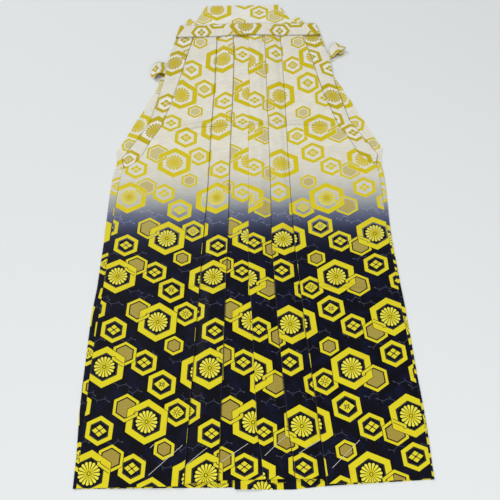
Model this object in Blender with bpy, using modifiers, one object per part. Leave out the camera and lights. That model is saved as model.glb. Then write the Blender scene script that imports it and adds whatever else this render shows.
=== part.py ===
"""Hakama trousers laid flat on their back, with the pleated front up.

X runs to the viewer's right, Y from the hem to the waist and Z up. The origin is at the middle of the
garment's box, on the surface that it lies on. Heights are measured along the garment from the hem.
Each half is worked out in distances from the centre line, so that both sides share their functions.
"""

import math
from collections import namedtuple

import bmesh
import bpy
from mathutils import Vector

# Driving sizes of the garment, in metres
BAND_BOTTOM = 0.937
BAND_TOP = 0.972
BOARD_BASE = 0.9503
BOARD_TOP = 1.038
BACK_TOP = 0.950
FRONT_TOP = 0.947
SLIT_HEIGHT = 0.587
CROTCH_HEIGHT = 0.500
HEM_LOWEST = -0.0055
MIDDLE_HEIGHT = (BOARD_TOP + HEM_LOWEST) / 2

# Cloth walls and the layers that they lie in
WALL = 0.0010
LAYER = 0.0014
SEAM_GAP = 0.0003
HALF_WALL = WALL / 2
TURN_RADIUS = LAYER / 2
BACK_LEVEL = HALF_WALL
FRONT_LEVEL = BACK_LEVEL + LAYER

# The band and the ties, which are strips of several layers sewn flat
BAND_WALL = 0.0020
BAND_HALF_TOP = 0.154
BAND_HALF_BOTTOM = 0.162
BAND_TUCK = 0.015
BAND_ROWS = (0.0, 0.33, 0.67, 1.0)
BAND_TURN_ANGLES = (-90, -60, -30, 0, 30, 60, 90)
BAND_COLUMNS = (0.110, 0.080, 0.066, 0.051, 0.036, 0.0)
TIE_WALL = 0.0016

# The stiff back board
BOARD_WALL = 0.0030
BOARD_HALF_TOP = 0.084
BOARD_SIDE_SLOPE = 0.48
BOARD_OFF_CENTRE = -0.011
BOARD_ROUND = 0.0006

# Half-width of each edge against height, in metres
Edge = namedtuple("Edge", "height half_width")
BACK_EDGE = [
    Edge(0.000, 0.2770),
    Edge(0.170, 0.2760),
    Edge(0.283, 0.2745),
    Edge(0.335, 0.2700),
    Edge(0.425, 0.2670),
    Edge(0.520, 0.2660),
    Edge(0.560, 0.2650),
    Edge(0.590, 0.2615),
    Edge(0.612, 0.2630),
    Edge(0.628, 0.2665),
    Edge(0.655, 0.2535),
    Edge(0.700, 0.2355),
    Edge(0.730, 0.2215),
    Edge(0.764, 0.2090),
    Edge(0.795, 0.1945),
    Edge(0.950, 0.1255),
]
FRONT_EDGE = [
    Edge(0.000, 0.2735),
    Edge(0.190, 0.2715),
    Edge(0.250, 0.2690),
    Edge(0.400, 0.2620),
    Edge(0.500, 0.2585),
    Edge(0.553, 0.2560),
    Edge(0.587, 0.2510),
    Edge(0.593, 0.2395),
    Edge(0.608, 0.2220),
    Edge(0.620, 0.2140),
    Edge(0.657, 0.1985),
    Edge(0.690, 0.1800),
    Edge(0.748, 0.1635),
    Edge(0.785, 0.1535),
    Edge(0.826, 0.1445),
    Edge(0.866, 0.1370),
    Edge(0.900, 0.1300),
    Edge(0.947, 0.1185),
]
STRIP_EDGE = [
    Edge(0.589, 0.2480),
    Edge(0.614, 0.2535),
    Edge(0.700, 0.2050),
    Edge(0.760, 0.1920),
    Edge(0.800, 0.1830),
    Edge(0.862, 0.1760),
    Edge(0.930, 0.1625),
    Edge(0.938, 0.1560),
    Edge(0.948, 0.1500),
]
STRIP_HIDDEN = 0.014
STRIP_COLUMNS = (0.0, 0.35, 0.7, 1.0)

# Where the five pleats' fold lines run, as distances across the garment at the hem, middle and waist
FoldLine = namedtuple("FoldLine", "at_hem at_middle at_waist")
MIDDLE_OF_FOLDS = 0.427
OUTER_LEFT_FOLD = FoldLine(-0.1085, -0.0890, -0.0700)
INNER_LEFT_FOLD = FoldLine(-0.0555, -0.0430, -0.0345)
CENTRE_FOLD = FoldLine(0.0070, -0.0040, 0.0005)
INNER_RIGHT_FOLD = FoldLine(0.0590, 0.0410, 0.0370)
OUTER_RIGHT_FOLD = FoldLine(0.1115, 0.0850, 0.0720)
PLEAT_DEPTH_AT_HEM = 0.026
PLEAT_DEPTH_AT_WAIST = 0.014
PLEAT_CLEARANCE = 0.003
WIDE_PANEL_STEPS = 5
PANEL_STEPS = 4
STACK_LAYERS = 2.0

# Heights between which the front's edge climbs onto the slit strip
CLIMB_START = 0.550
CLIMB_END = 0.580

# The back's centre pleat
BACK_FOLD = 0.003
BACK_PLEAT_AT_HEM = 0.030
BACK_PLEAT_AT_WAIST = 0.018
BACK_RAMP = 0.010
BACK_STEPS = 4

# The crotch gussets, one folded strip inside each leg: inner fold and outer edge from the centre
GUSSET_LEFT_FOLD = 0.036
GUSSET_RIGHT_FOLD = 0.019
GUSSET_WIDTH_AT_HEM = 0.036
GUSSET_WIDTH_AT_CROTCH = 0.012

# Where the front lies higher: over the centre layers, over tucked ties and on the pressed creases
Lift = namedtuple("Lift", "x height half_x half_height fall rise")
CENTRE_FALL = 0.040
CENTRE_LOW_HALF = 0.078
CENTRE_HIGH_HALF = 0.036
CENTRE_NARROWS = (0.50, 0.64)
TIE_LIFTS = [
    Lift(-0.180, 0.830, 0.032, 0.055, 0.028, 2 * LAYER),
    Lift(0.180, 0.872, 0.036, 0.040, 0.028, 2 * LAYER),
    Lift(-0.155, 0.955, 0.036, 0.024, 0.022, 0.0011),
    Lift(0.155, 0.955, 0.036, 0.024, 0.022, 0.0011),
]
Crease = namedtuple("Crease", "height half_height rise")
CREASES = [Crease(0.333, 0.009, 0.0011), Crease(0.690, 0.008, 0.0009)]

# How far the hem stands above or below the hem line, against the distance across
HemPoint = namedtuple("HemPoint", "x height")
FRONT_HEM = [
    HemPoint(-0.277, -0.0005),
    HemPoint(-0.112, 0.0005),
    HemPoint(-0.105, 0.0040),
    HemPoint(-0.054, 0.0080),
    HemPoint(0.052, 0.0090),
    HemPoint(0.105, 0.0080),
    HemPoint(0.112, 0.0010),
    HemPoint(0.277, 0.0075),
]
BACK_LEFT_HEM = [HemPoint(-0.277, -0.0010), HemPoint(0.010, -0.0020)]
BACK_RIGHT_HEM = [
    HemPoint(-0.030, -0.0050),
    HemPoint(0.059, -0.0060),
    HemPoint(0.110, -0.0015),
    HemPoint(0.277, 0.0060),
]
HEM_FADE = 0.120

# Rows of the lofts, as heights
LEG_ROWS = [0.0, 0.035, 0.10, 0.17, 0.25, 0.313, 0.333, 0.353, 0.425, 0.50, 0.545, 0.567]
SLIT_ROWS = [SLIT_HEIGHT, 0.593, 0.600, 0.608, 0.620, 0.637, 0.657]
WAIST_ROWS = [0.673, 0.690, 0.707, 0.748, 0.785, 0.810, 0.840, 0.866, 0.890, 0.915, 0.933]
FRONT_ROWS = LEG_ROWS + SLIT_ROWS + WAIST_ROWS + [FRONT_TOP]
STRIP_ROWS = [0.589, 0.600, 0.614, 0.637, 0.657] + WAIST_ROWS + [0.938, 0.947]
BACK_LEG_ROWS = LEG_ROWS + [SLIT_HEIGHT]
BACK_TOP_ROWS = [0.600, 0.612, 0.628, 0.655, 0.700, 0.764, 0.795, 0.870, BACK_TOP]
GUSSET_ROWS = [0.004, 0.10, 0.20, 0.30, 0.40, CROTCH_HEIGHT]

# The front tie's folds that show beside the waist: the corners where each leaves the garment's edge
# and those of its tip, on the ribbon's hem side and waist side, and its section from inside to inside
Tuck = namedtuple("Tuck", "edge_low edge_high tip_low tip_high")
LEFT_TUCK = Tuck((-0.1805, 0.824), (-0.1755, 0.866), (-0.2110, 0.816), (-0.2120, 0.851))
RIGHT_TUCK = Tuck((0.1775, 0.859), (0.1740, 0.8875), (0.2150, 0.888), (0.1900, 0.911))
RIBBON_ROWS = (0.0, 0.33, 0.67, 1.0)
TuckPoint = namedtuple("TuckPoint", "share z")
LEFT_SECTION = [
    TuckPoint(-0.50, 0.0019),
    TuckPoint(0.00, 0.0019),
    TuckPoint(0.35, 0.0011),
    TuckPoint(0.75, 0.0010),
    TuckPoint(0.93, 0.0028),
    TuckPoint(1.00, 0.0062),
    TuckPoint(0.92, 0.0096),
    TuckPoint(0.72, 0.0112),
    TuckPoint(0.48, 0.0100),
    TuckPoint(0.28, 0.0062),
    TuckPoint(0.12, 0.0035),
    TuckPoint(0.00, 0.0033),
    TuckPoint(-0.50, 0.0033),
]
RIGHT_SECTION = [
    TuckPoint(-0.45, 0.0019),
    TuckPoint(0.00, 0.0019),
    TuckPoint(0.30, 0.0012),
    TuckPoint(0.88, 0.0012),
    TuckPoint(0.97, 0.0018),
    TuckPoint(1.00, 0.0031),
    TuckPoint(0.97, 0.0044),
    TuckPoint(0.88, 0.0050),
    TuckPoint(0.60, 0.0050),
    TuckPoint(0.575, 0.00535),
    TuckPoint(0.575, 0.00605),
    TuckPoint(0.60, 0.0064),
    TuckPoint(0.88, 0.0066),
    TuckPoint(0.97, 0.0072),
    TuckPoint(1.00, 0.0085),
    TuckPoint(0.97, 0.0098),
    TuckPoint(0.88, 0.0104),
    TuckPoint(0.50, 0.0098),
    TuckPoint(0.32, 0.0066),
    TuckPoint(0.16, 0.0037),
    TuckPoint(0.00, 0.0033),
    TuckPoint(-0.45, 0.0033),
]
TIE_RUN_ROWS = [0.783, 0.797, 0.811]
TIE_RUN_INSIDE = 0.022
TIE_RUN_OUTSIDE = 0.010

# Corners of the back ties' folded tips beside the board
Corner = namedtuple("Corner", "x height")
LEFT_TIP = [
    Corner(-0.1390, 0.9508),
    Corner(-0.0920, 0.9508),
    Corner(-0.1040, 0.9720),
    Corner(-0.1200, 0.9830),
    Corner(-0.1320, 0.9960),
    Corner(-0.1395, 0.9860),
]
RIGHT_TIP = [
    Corner(0.0820, 0.9508),
    Corner(0.1290, 0.9508),
    Corner(0.1272, 0.9770),
    Corner(0.1120, 0.9960),
    Corner(0.0965, 0.9750),
]

COLLECTION_NAME = "hakama_trousers"
Finish = namedtuple("Finish", "name colour roughness")
DYED_CLOTH = Finish("dyed_brocade", (0.030, 0.032, 0.060, 1.0), 0.55)
PALE_CLOTH = Finish("pale_brocade", (0.720, 0.690, 0.600, 1.0), 0.55)


def smooth_step(value, start, end):
    """Rises softly from 0 at start to 1 at end."""
    share = min(max((value - start) / (end - start), 0.0), 1.0)
    return share * share * (3.0 - 2.0 * share)


def plateau(distance, flat, fall):
    """1 within a flat distance, then falls softly to 0."""
    return 1.0 - smooth_step(abs(distance), flat, flat + fall)


def read(table, value):
    """The second column of a table at a value of its first, straight between rows."""
    if value <= table[0][0]:
        return table[0][1]
    for low, high in zip(table, table[1:]):
        if value <= high[0]:
            share = (value - low[0]) / (high[0] - low[0])
            return low[1] + share * (high[1] - low[1])
    return table[-1][1]


def fold_at(line, height):
    """A fold line's distance across the garment at a height."""
    rows = [(0.0, line.at_hem), (MIDDLE_OF_FOLDS, line.at_middle), (FRONT_TOP, line.at_waist)]
    return read(rows, height)


def taper(at_hem, at_waist, height):
    """A size that runs straight from the hem to the waist."""
    return at_hem + (at_waist - at_hem) * height / FRONT_TOP


def front_lift(x, height):
    """How far the front's layers stand above the flat back's."""
    narrowing = smooth_step(height, *CENTRE_NARROWS)
    half = CENTRE_LOW_HALF + (CENTRE_HIGH_HALF - CENTRE_LOW_HALF) * narrowing
    lift = STACK_LAYERS * LAYER * plateau(x, half, CENTRE_FALL)
    for bump in TIE_LIFTS:
        across = plateau(x - bump.x, bump.half_x, bump.fall)
        lift += bump.rise * across * plateau(height - bump.height, bump.half_height, bump.fall)
    for crease in CREASES:
        lift += crease.rise * plateau(height - crease.height, 0.0, 2 * crease.half_height)
    return lift


def turn(centre, level, outward, rising=False):
    """Points of a hairpin turn between two layers: (distance, layers above the lowest)."""
    side = 1 if outward else -1
    angles = [90, 30, -30, -90]
    if rising:
        angles.reverse()
    points = []
    for angle in angles:
        across = side * TURN_RADIUS * math.cos(math.radians(angle))
        points.append((centre + across, level + 0.5 * math.sin(math.radians(angle))))
    return points


def panel(start, start_level, end, end_level, steps):
    """Points of a panel that rises softly across its width, its start left out."""
    points = []
    for step in range(1, steps + 1):
        share = step / steps
        level = start_level + (end_level - start_level) * smooth_step(share, 0.0, 1.0)
        points.append((start + (end - start) * share, level))
    return points


def front_section(height, folds, end):
    """A front half's section from its outer edge inward, each pleat folded under to its depth."""
    depth = taper(PLEAT_DEPTH_AT_HEM, PLEAT_DEPTH_AT_WAIST, height)
    start = read(FRONT_EDGE, height)
    start_level = smooth_step(height, CLIMB_START, CLIMB_END)
    steps = WIDE_PANEL_STEPS
    points = [(start, start_level)]
    for fold in folds:
        stack = fold + depth + TURN_RADIUS + PLEAT_CLEARANCE
        points += panel(start, start_level, stack, STACK_LAYERS, steps)
        points += turn(fold + HALF_WALL + TURN_RADIUS, 1.5, outward=False)
        if end is None and fold == folds[-1]:
            points.append((fold + depth, 1.0))
            return points
        points += turn(fold + depth, 0.5, outward=True)
        start, start_level, steps = fold - PLEAT_CLEARANCE, 0.0, PANEL_STEPS
        points.append((start, start_level))
    middle = (start + end) / 2
    return points + [(middle, 0.0), (end, 0.0)]


def front_rows(side):
    """The rows of one front half in metres, from the hem to the waist."""
    rows = []
    for height in FRONT_ROWS:
        depth = taper(PLEAT_DEPTH_AT_HEM, PLEAT_DEPTH_AT_WAIST, height)
        if side < 0:
            folds = [-fold_at(OUTER_LEFT_FOLD, height), -fold_at(INNER_LEFT_FOLD, height)]
            end = -(fold_at(CENTRE_FOLD, height) + depth)
        else:
            lines = (OUTER_RIGHT_FOLD, INNER_RIGHT_FOLD, CENTRE_FOLD)
            folds = [fold_at(line, height) for line in lines]
            end = None
        row = []
        for distance, level in front_section(height, folds, end):
            x = side * distance
            lifted = FRONT_LEVEL + level * LAYER + front_lift(x, height)
            row.append(place(x, height + hem_step(FRONT_HEM, x, height), lifted))
        rows.append(row)
    return rows


def hem_step(table, x, height):
    """The hem's own step up or down, which fades out above it."""
    return read(table, x) * max(0.0, 1.0 - height / HEM_FADE)


def place(x, height, z):
    """A point of the garment in the part's frame."""
    return Vector((x, height - MIDDLE_HEIGHT, z))


def back_rows(side):
    """The rows of one back half, folded over at its side below the slit and pleated at the centre."""
    rows = []
    hem = BACK_LEFT_HEM if side < 0 else BACK_RIGHT_HEM
    for height in BACK_LEG_ROWS + BACK_TOP_ROWS:
        outer = read(BACK_EDGE, height)
        folded = height <= SLIT_HEIGHT
        turn_at = outer - HALF_WALL - TURN_RADIUS if folded else outer
        section = [(read(FRONT_EDGE, height) + SEAM_GAP, 1.0)]
        section += turn(turn_at, 0.5, outward=True)
        section[-1] = (turn_at, 0.0)
        depth = taper(BACK_PLEAT_AT_HEM, BACK_PLEAT_AT_WAIST, height)
        if side < 0:
            near = -BACK_FOLD + HALF_WALL + TURN_RADIUS
            section += panel(turn_at, 0.0, near, 0.0, BACK_STEPS)[:-1]
            section += turn(near, 0.5, outward=False, rising=True)
            section.append((depth, 1.0))
        else:
            near = BACK_FOLD + SEAM_GAP
            section += panel(turn_at, 0.0, near + BACK_RAMP, 0.0, BACK_STEPS)
            section += panel(near + BACK_RAMP, 0.0, near, STACK_LAYERS, BACK_STEPS)
            section.append((-depth, STACK_LAYERS))
        row = []
        for distance, level in section:
            x = side * distance
            step = hem_step(hem, x, height)
            row.append(place(x, height + step, BACK_LEVEL + level * LAYER))
        rows.append(row)
    return rows


def gusset_rows(side):
    """The rows of one crotch gusset, a strip folded lengthwise inside the leg."""
    inner = GUSSET_LEFT_FOLD if side < 0 else GUSSET_RIGHT_FOLD
    rows = []
    for height in GUSSET_ROWS:
        share = height / CROTCH_HEIGHT
        width = GUSSET_WIDTH_AT_HEM + (GUSSET_WIDTH_AT_CROTCH - GUSSET_WIDTH_AT_HEM) * share
        section = [(inner + width, 2.0)]
        section += turn(inner, 1.5, outward=False)
        section.append((inner + width, 1.0))
        rows.append([place(side * d, height, BACK_LEVEL + level * LAYER) for d, level in section])
    return rows


def strip_rows(side):
    """The rows of the folded strip that edges the side slit, under the front panel's edge."""
    rows = []
    for height in STRIP_ROWS:
        edge = read(FRONT_EDGE, height)
        outer = read(STRIP_EDGE, height)
        inner = edge - STRIP_HIDDEN
        row = []
        for share in STRIP_COLUMNS:
            x = side * (inner + (outer - inner) * share)
            row.append(place(x, height, FRONT_LEVEL + front_lift(x, height)))
        rows.append(row)
    return rows


def band_rows():
    """The rows of the front band, which runs over the pleats and turns under at both ends."""
    side_level = FRONT_LEVEL + 2 * LAYER + HALF_WALL + SEAM_GAP + BAND_WALL / 2
    low_level = BAND_WALL / 2
    radius = (side_level - low_level) / 2
    rows = []
    for share in BAND_ROWS:
        height = BAND_BOTTOM + (BAND_TOP - BAND_BOTTOM) * share
        half = BAND_HALF_BOTTOM + (BAND_HALF_TOP - BAND_HALF_BOTTOM) * share
        turn_at = half - BAND_WALL / 2 - radius
        right = [(turn_at - BAND_TUCK, low_level)]
        for angle in map(math.radians, BAND_TURN_ANGLES):
            level = low_level + radius * (1 + math.sin(angle))
            right.append((turn_at + radius * math.cos(angle), level))
        for x in BAND_COLUMNS:
            rise = STACK_LAYERS * LAYER * plateau(x, CENTRE_HIGH_HALF, CENTRE_FALL)
            right.append((x, side_level + rise))
        left = [(-x, z) for x, z in reversed(right[:-1])]
        rows.append([place(x, height, z) for x, z in right + left])
    return rows


def tuck_rows(tuck, section):
    """The rows of a tie's fold across its ribbon, from its hem side to its waist side."""
    rows = []
    for across in RIBBON_ROWS:
        edge = Vector(tuck.edge_low).lerp(Vector(tuck.edge_high), across)
        tip = Vector(tuck.tip_low).lerp(Vector(tuck.tip_high), across)
        rows.append([place(*edge.lerp(tip, point.share), point.z) for point in section])
    return rows


def tie_run_rows():
    """The rows of the tie's run that shows below the left fold, between the strip and the back."""
    rows = []
    for height in TIE_RUN_ROWS:
        edge = read(STRIP_EDGE, height)
        across = (edge - TIE_RUN_INSIDE, edge, edge + TIE_RUN_OUTSIDE)
        rows.append([place(-x, height, FRONT_LEVEL) for x in across])
    return rows


def material_of(finish):
    """The finish's material, made once."""
    material = bpy.data.materials.get(finish.name)
    if material is None:
        material = bpy.data.materials.new(finish.name)
        material.use_nodes = True
        shader = material.node_tree.nodes["Principled BSDF"]
        shader.inputs["Base Color"].default_value = finish.colour
        shader.inputs["Roughness"].default_value = finish.roughness
    return material


def add_object(name, data, finish, collection):
    """Puts a mesh or curve in the collection under its node's name."""
    item = bpy.data.objects.new(name, data)
    data.materials.append(material_of(finish))
    collection.objects.link(item)
    return item


def loft(name, rows, wall, finish, collection, open_from=None, open_columns=0):
    """A cloth wall through rows of points. From a row on, the first columns can be left out."""
    shape = bmesh.new()
    grid = [[shape.verts.new(point) for point in row] for row in rows]
    for index, (low, high) in enumerate(zip(grid, grid[1:])):
        first = open_columns if open_from is not None and index >= open_from else 0
        for column in range(first, len(low) - 1):
            shape.faces.new((low[column], low[column + 1], high[column + 1], high[column]))
    unused = [vertex for vertex in shape.verts if not vertex.link_faces]
    bmesh.ops.delete(shape, geom=unused, context="VERTS")
    bmesh.ops.recalc_face_normals(shape, faces=shape.faces)
    mesh = bpy.data.meshes.new(name)
    shape.to_mesh(mesh)
    shape.free()
    mesh.shade_smooth()
    item = add_object(name, mesh, finish, collection)
    solid = item.modifiers.new("wall", "SOLIDIFY")
    solid.thickness = wall
    solid.offset = 0.0
    solid.use_even_offset = True
    solid.use_quality_normals = True
    return item


def plate(name, corners, low, wall, rounding, finish, collection):
    """A flat plate of an outline's corners, resting at a low level, its edges rounded."""
    outline = bpy.data.curves.new(name, "CURVE")
    outline.dimensions = "2D"
    outline.fill_mode = "BOTH"
    outline.extrude = wall / 2 - rounding
    outline.bevel_depth = rounding
    outline.bevel_resolution = 1
    outline.offset = -rounding
    spline = outline.splines.new("POLY")
    spline.points.add(len(corners) - 1)
    for point, (x, height) in zip(spline.points, corners):
        point.co = (*place(x, height, 0.0), 1.0)
    spline.use_cyclic_u = True
    item = add_object(name, outline, finish, collection)
    item.location.z = low + wall / 2
    return item


def board_corners():
    """The back board's outline, a trapezium set a little off the centre line."""
    half_base = BOARD_HALF_TOP + (BOARD_TOP - BOARD_BASE) * BOARD_SIDE_SLOPE
    right = [(half_base, BOARD_BASE), (BOARD_HALF_TOP, BOARD_TOP)]
    left = [(-x, height) for x, height in reversed(right)]
    return [(x + BOARD_OFF_CENTRE, height) for x, height in right + left]


def build_cloth(collection):
    """The pieces of the body: backs, gussets, slit strips and pleated fronts."""
    slit_row = BACK_LEG_ROWS.index(SLIT_HEIGHT)
    for side, word in ((-1, "left"), (1, "right")):
        loft(f"back_{word}", back_rows(side), WALL, DYED_CLOTH, collection, slit_row, 4)
        loft(f"gusset_{word}", gusset_rows(side), WALL, DYED_CLOTH, collection)
        loft(f"slit_strip_{word}", strip_rows(side), WALL, PALE_CLOTH, collection)
        loft(f"front_{word}", front_rows(side), WALL, DYED_CLOTH, collection)


def build_waist(collection):
    """The pieces at the waist: band, back board and the folds of the ties that show."""
    loft("front_band", band_rows(), BAND_WALL, PALE_CLOTH, collection)
    plate("back_board", board_corners(), 0.0, BOARD_WALL, BOARD_ROUND, PALE_CLOTH, collection)
    tie_low = BOARD_WALL + SEAM_GAP
    for word, corners in (("left", LEFT_TIP), ("right", RIGHT_TIP)):
        plate(f"back_tie_{word}", corners, tie_low, TIE_WALL, TIE_WALL / 4, PALE_CLOTH, collection)
    loft("front_tie_left", tuck_rows(LEFT_TUCK, LEFT_SECTION), WALL, PALE_CLOTH, collection)
    loft("front_tie_right", tuck_rows(RIGHT_TUCK, RIGHT_SECTION), WALL, PALE_CLOTH, collection)
    loft("front_tie_run_left", tie_run_rows(), WALL, PALE_CLOTH, collection)


def main():
    """Clears the scene and builds the trousers in their own collection."""
    for item in list(bpy.data.objects):
        bpy.data.objects.remove(item)
    collection = bpy.data.collections.new(COLLECTION_NAME)
    bpy.context.scene.collection.children.link(collection)
    build_cloth(collection)
    build_waist(collection)


main()
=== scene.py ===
"""Looks of the hakama trousers: brocade panels and pleats, slit strips, band, board, ties and sewing.

X runs to the viewer's right, Y from the hem to the waist and Z up, in metres. Heights are measured along
the garment from its hem. The woven pattern is charted in millimetres of cloth.
"""

import logging
import math
from collections.abc import Callable, Sequence
from dataclasses import dataclass, field
from enum import Enum

import bmesh
import bpy
import numpy as np
from mathutils import Matrix, Vector
from mathutils.bvhtree import BVHTree


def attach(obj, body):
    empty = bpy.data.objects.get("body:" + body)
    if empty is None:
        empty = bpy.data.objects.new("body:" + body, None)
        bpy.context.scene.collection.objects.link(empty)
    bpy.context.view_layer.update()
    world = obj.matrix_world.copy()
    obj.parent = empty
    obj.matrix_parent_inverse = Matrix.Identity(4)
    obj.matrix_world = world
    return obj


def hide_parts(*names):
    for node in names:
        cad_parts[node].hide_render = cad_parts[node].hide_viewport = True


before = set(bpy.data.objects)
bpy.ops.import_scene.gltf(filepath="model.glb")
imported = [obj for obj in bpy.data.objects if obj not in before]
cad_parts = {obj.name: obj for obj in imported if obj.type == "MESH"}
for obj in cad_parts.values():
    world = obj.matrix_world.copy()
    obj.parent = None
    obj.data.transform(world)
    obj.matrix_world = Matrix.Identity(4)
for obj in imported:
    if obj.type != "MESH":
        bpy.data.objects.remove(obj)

log = logging.getLogger("hakama")
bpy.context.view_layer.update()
MM = 0.001

Value = float | np.ndarray
Item = bpy.types.Object
Material = bpy.types.Material
Socket = bpy.types.NodeSocket
Tree = bpy.types.NodeTree

# Driving sizes of the garment
BAND_BOTTOM = 0.937
BAND_TOP = 0.972
BOARD_BASE = 0.9503
BOARD_TOP = 1.038
BACK_TOP = 0.950
FRONT_TOP = 0.947
SLIT_HEIGHT = 0.587
CROTCH_HEIGHT = 0.500
HEM_LOWEST = -0.0055
MIDDLE_HEIGHT = (BOARD_TOP + HEM_LOWEST) / 2

# Cloth walls and the layers that they lie in
WALL = 0.0010
CLOTH = 0.0009
LAYER = 0.0014
SEAM_GAP = 0.0003
HALF_WALL = WALL / 2
TURN_RADIUS = LAYER / 2
BACK_LEVEL = HALF_WALL
FRONT_LEVEL = BACK_LEVEL + LAYER
ROW_STEP = 0.0062
CREASE_ROWS = (*np.arange(0.3245, 0.3400, 0.0016), *np.arange(0.6740, 0.7060, 0.0016))


def drawn(*numbers: float) -> tuple:
    """Pairs of metres, from millimetres given one after another."""
    return tuple((a * MM, b * MM) for a, b in zip(numbers[::2], numbers[1::2]))


# Half-width of each edge against height
BACK_EDGE = drawn(
    0, 277, 170, 276, 283, 274.5, 335, 270, 425, 267, 520, 266, 560, 265, 590, 261.5,
    612, 263, 628, 266.5, 655, 253.5, 700, 235.5, 730, 221.5, 764, 209, 795, 194.5,
    950, 125.5,
)
FRONT_EDGE = drawn(
    0, 273.5, 190, 271.5, 250, 269, 400, 262, 500, 258.5, 553, 256, 587, 251, 593, 239.5,
    608, 222, 620, 214, 657, 198.5, 690, 180, 748, 163.5, 785, 153.5, 826, 144.5, 866, 137,
    900, 130, 947, 118.5,
)
STRIP_EDGE = drawn(
    589, 248, 614, 253.5, 700, 205, 760, 192, 800, 183, 862, 176, 930, 162.5, 938, 156,
    948, 150,
)
STRIP_HIDDEN = 0.014

# How far the edges stand out beyond the even half-widths, since the garment leans a little to the left
LEFT_BACK_LEAN = drawn(
    0, 2.2, 50, 2.6, 90, 4.8, 115, 6.3, 400, 6.3, 560, 6, 586, 5, 600, 2.4, 640, 2.6,
    700, 1, 780, 0,
)
RIGHT_LEAN = drawn(
    90, 0, 130, -1.3, 170, -3.4, 235, -4.8, 270, -6.2, 345, -4.8, 400, -6.2, 450, -6.6,
    500, -4.8, 550, -3.4, 590, -1.6, 620, 0,
)

# Pleats
PLEAT_DEPTH_AT_HEM = 0.026
PLEAT_DEPTH_AT_WAIST = 0.014
PLEAT_CLEARANCE = 0.003
STACK_LAYERS = 2.0
CLIMB = (0.550, 0.580)

# The front's lift over the centre layers
CENTRE_FALL = 0.040
CENTRE_LOW_HALF = 0.078
CENTRE_HIGH_HALF = 0.036
CENTRE_NARROWS = (0.50, 0.64)

# The hem's own steps
HEM_FADE = 0.120
FRONT_HEM = drawn(
    -277, -0.5, -112, 0.5, -105, 4, -54, 8, 52, 9, 105, 8, 112, 1, 277, 7.5,
)
BACK_LEFT_HEM = drawn(-277, -1, 10, -2)
BACK_RIGHT_HEM = drawn(-30, -5, 59, -6, 110, -1.5, 277, 6)

# The woven repeat, in millimetres of cloth
REPEAT_WIDE = 163.0
REPEAT_TALL = 167.5
HEXAGON_TALLNESS = 1.08
HEXAGON_SLANT = 0.5 / (HEXAGON_TALLNESS / 2)


def back_edge(height: Value, side: int) -> Value:
    """The back's half-width on a side."""
    return read(BACK_EDGE, height) + read(LEFT_BACK_LEAN if side < 0 else RIGHT_LEAN, height)


def front_edge(height: Value, side: int) -> Value:
    """The front's half-width on a side."""
    return read(FRONT_EDGE, height) + (0.0 if side < 0 else read(RIGHT_LEAN, height))


def smooth_step(value: Value, start: float, end: float) -> Value:
    """Rises softly from 0 at start to 1 at end, for numbers and arrays."""
    share = np.clip((value - start) / (end - start), 0.0, 1.0)
    return share * share * (3.0 - 2.0 * share)


def plateau(distance: Value, flat: float, fall: float) -> Value:
    """1 within a flat distance, then falls softly to 0."""
    return 1.0 - smooth_step(np.abs(distance), flat, flat + fall)


def read(table: Sequence, value: Value) -> Value:
    """The second column of a table at values of its first, straight between rows."""
    rows = np.array(table, dtype=float)
    return np.interp(value, rows[:, 0], rows[:, 1])


def linear(hex_value: str, alpha: float = 1.0) -> tuple:
    """An sRGB hex value as linear colour.

    Args:
        hex_value: six hex digits with a leading sign.
        alpha: the fourth value.

    Returns:
        Four linear values.
    """
    parts = [int(hex_value[at : at + 2], 16) / 255 for at in (1, 3, 5)]
    return (*[p / 12.92 if p <= 0.04045 else ((p + 0.055) / 1.055) ** 2.4 for p in parts], alpha)


def fade(*steps: float | str) -> tuple:
    """A ramp's (height in metres, hex) rows, from millimetres and colours one after another."""
    return tuple(zip([height * MM for height in steps[::2]], steps[1::2]))


class Motif(Enum):
    """Hexagons of the repeat, by their centres from the big hexagon's, in millimetres."""

    BIG = (0.0, 0.0)
    SECOND_BIG = (-81.5, 83.75)
    SHADED_BY_BIG = (-36.3, 19.6)
    SHADED_BY_SECOND = (-50.4, 107.9)
    FLOWER = (47.6, 17.6)
    DIAMOND = (-74.6, -18.4)
    SECOND_DIAMOND = (-15.0, 95.05)
    LOZENGE = (18.5, 60.25)
    SMALL = (32.4, -40.2)


@dataclass(frozen=True)
class FoldLine:
    """Where a pleat's fold runs, as (height, distance across) rows."""

    rows: tuple

    def at(self, height: Value) -> Value:
        """The fold's distance across at heights."""
        return read(self.rows, height)


OUTER_LEFT_FOLD = FoldLine(drawn(
    0, -108.5, 427, -88.5, 510, -84, 555, -82, 627, -80.2, 700, -78, 755, -75, 810, -72.7,
    866, -71.6, 947, -70,
))
INNER_LEFT_FOLD = FoldLine(drawn(
    0, -55.5, 427, -43, 627, -39.7, 700, -37.2, 755, -34.9, 866, -32.4, 905, -32.6,
    947, -34.5,
))
CENTRE_FOLD = FoldLine(drawn(
    0, 14, 40, 11.2, 70, 6.2, 98, 4.5, 220, 1.3, 270, 0, 305, -2, 343, -5.2, 403, -5,
    450, -4, 627, -2.4, 700, -1.2, 780, 1.2, 830, 1.4, 947, 0.5,
))
INNER_RIGHT_FOLD = FoldLine(drawn(
    0, 63.2, 30, 61.7, 52, 59, 80, 55.9, 130, 51.9, 170, 49.6, 214, 47.2, 260, 44.5,
    305, 42, 343, 40.9, 403, 38.6, 450, 38.8, 510, 39.6, 600, 39.7, 947, 37,
))
OUTER_RIGHT_FOLD = FoldLine(drawn(
    0, 111.2, 52, 107.5, 83, 104.9, 130, 101.6, 163, 98.8, 214, 93.8, 249, 91.3, 305, 88,
    343, 85, 403, 80.8, 510, 78.3, 627, 76.4, 755, 76, 947, 72,
))

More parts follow.
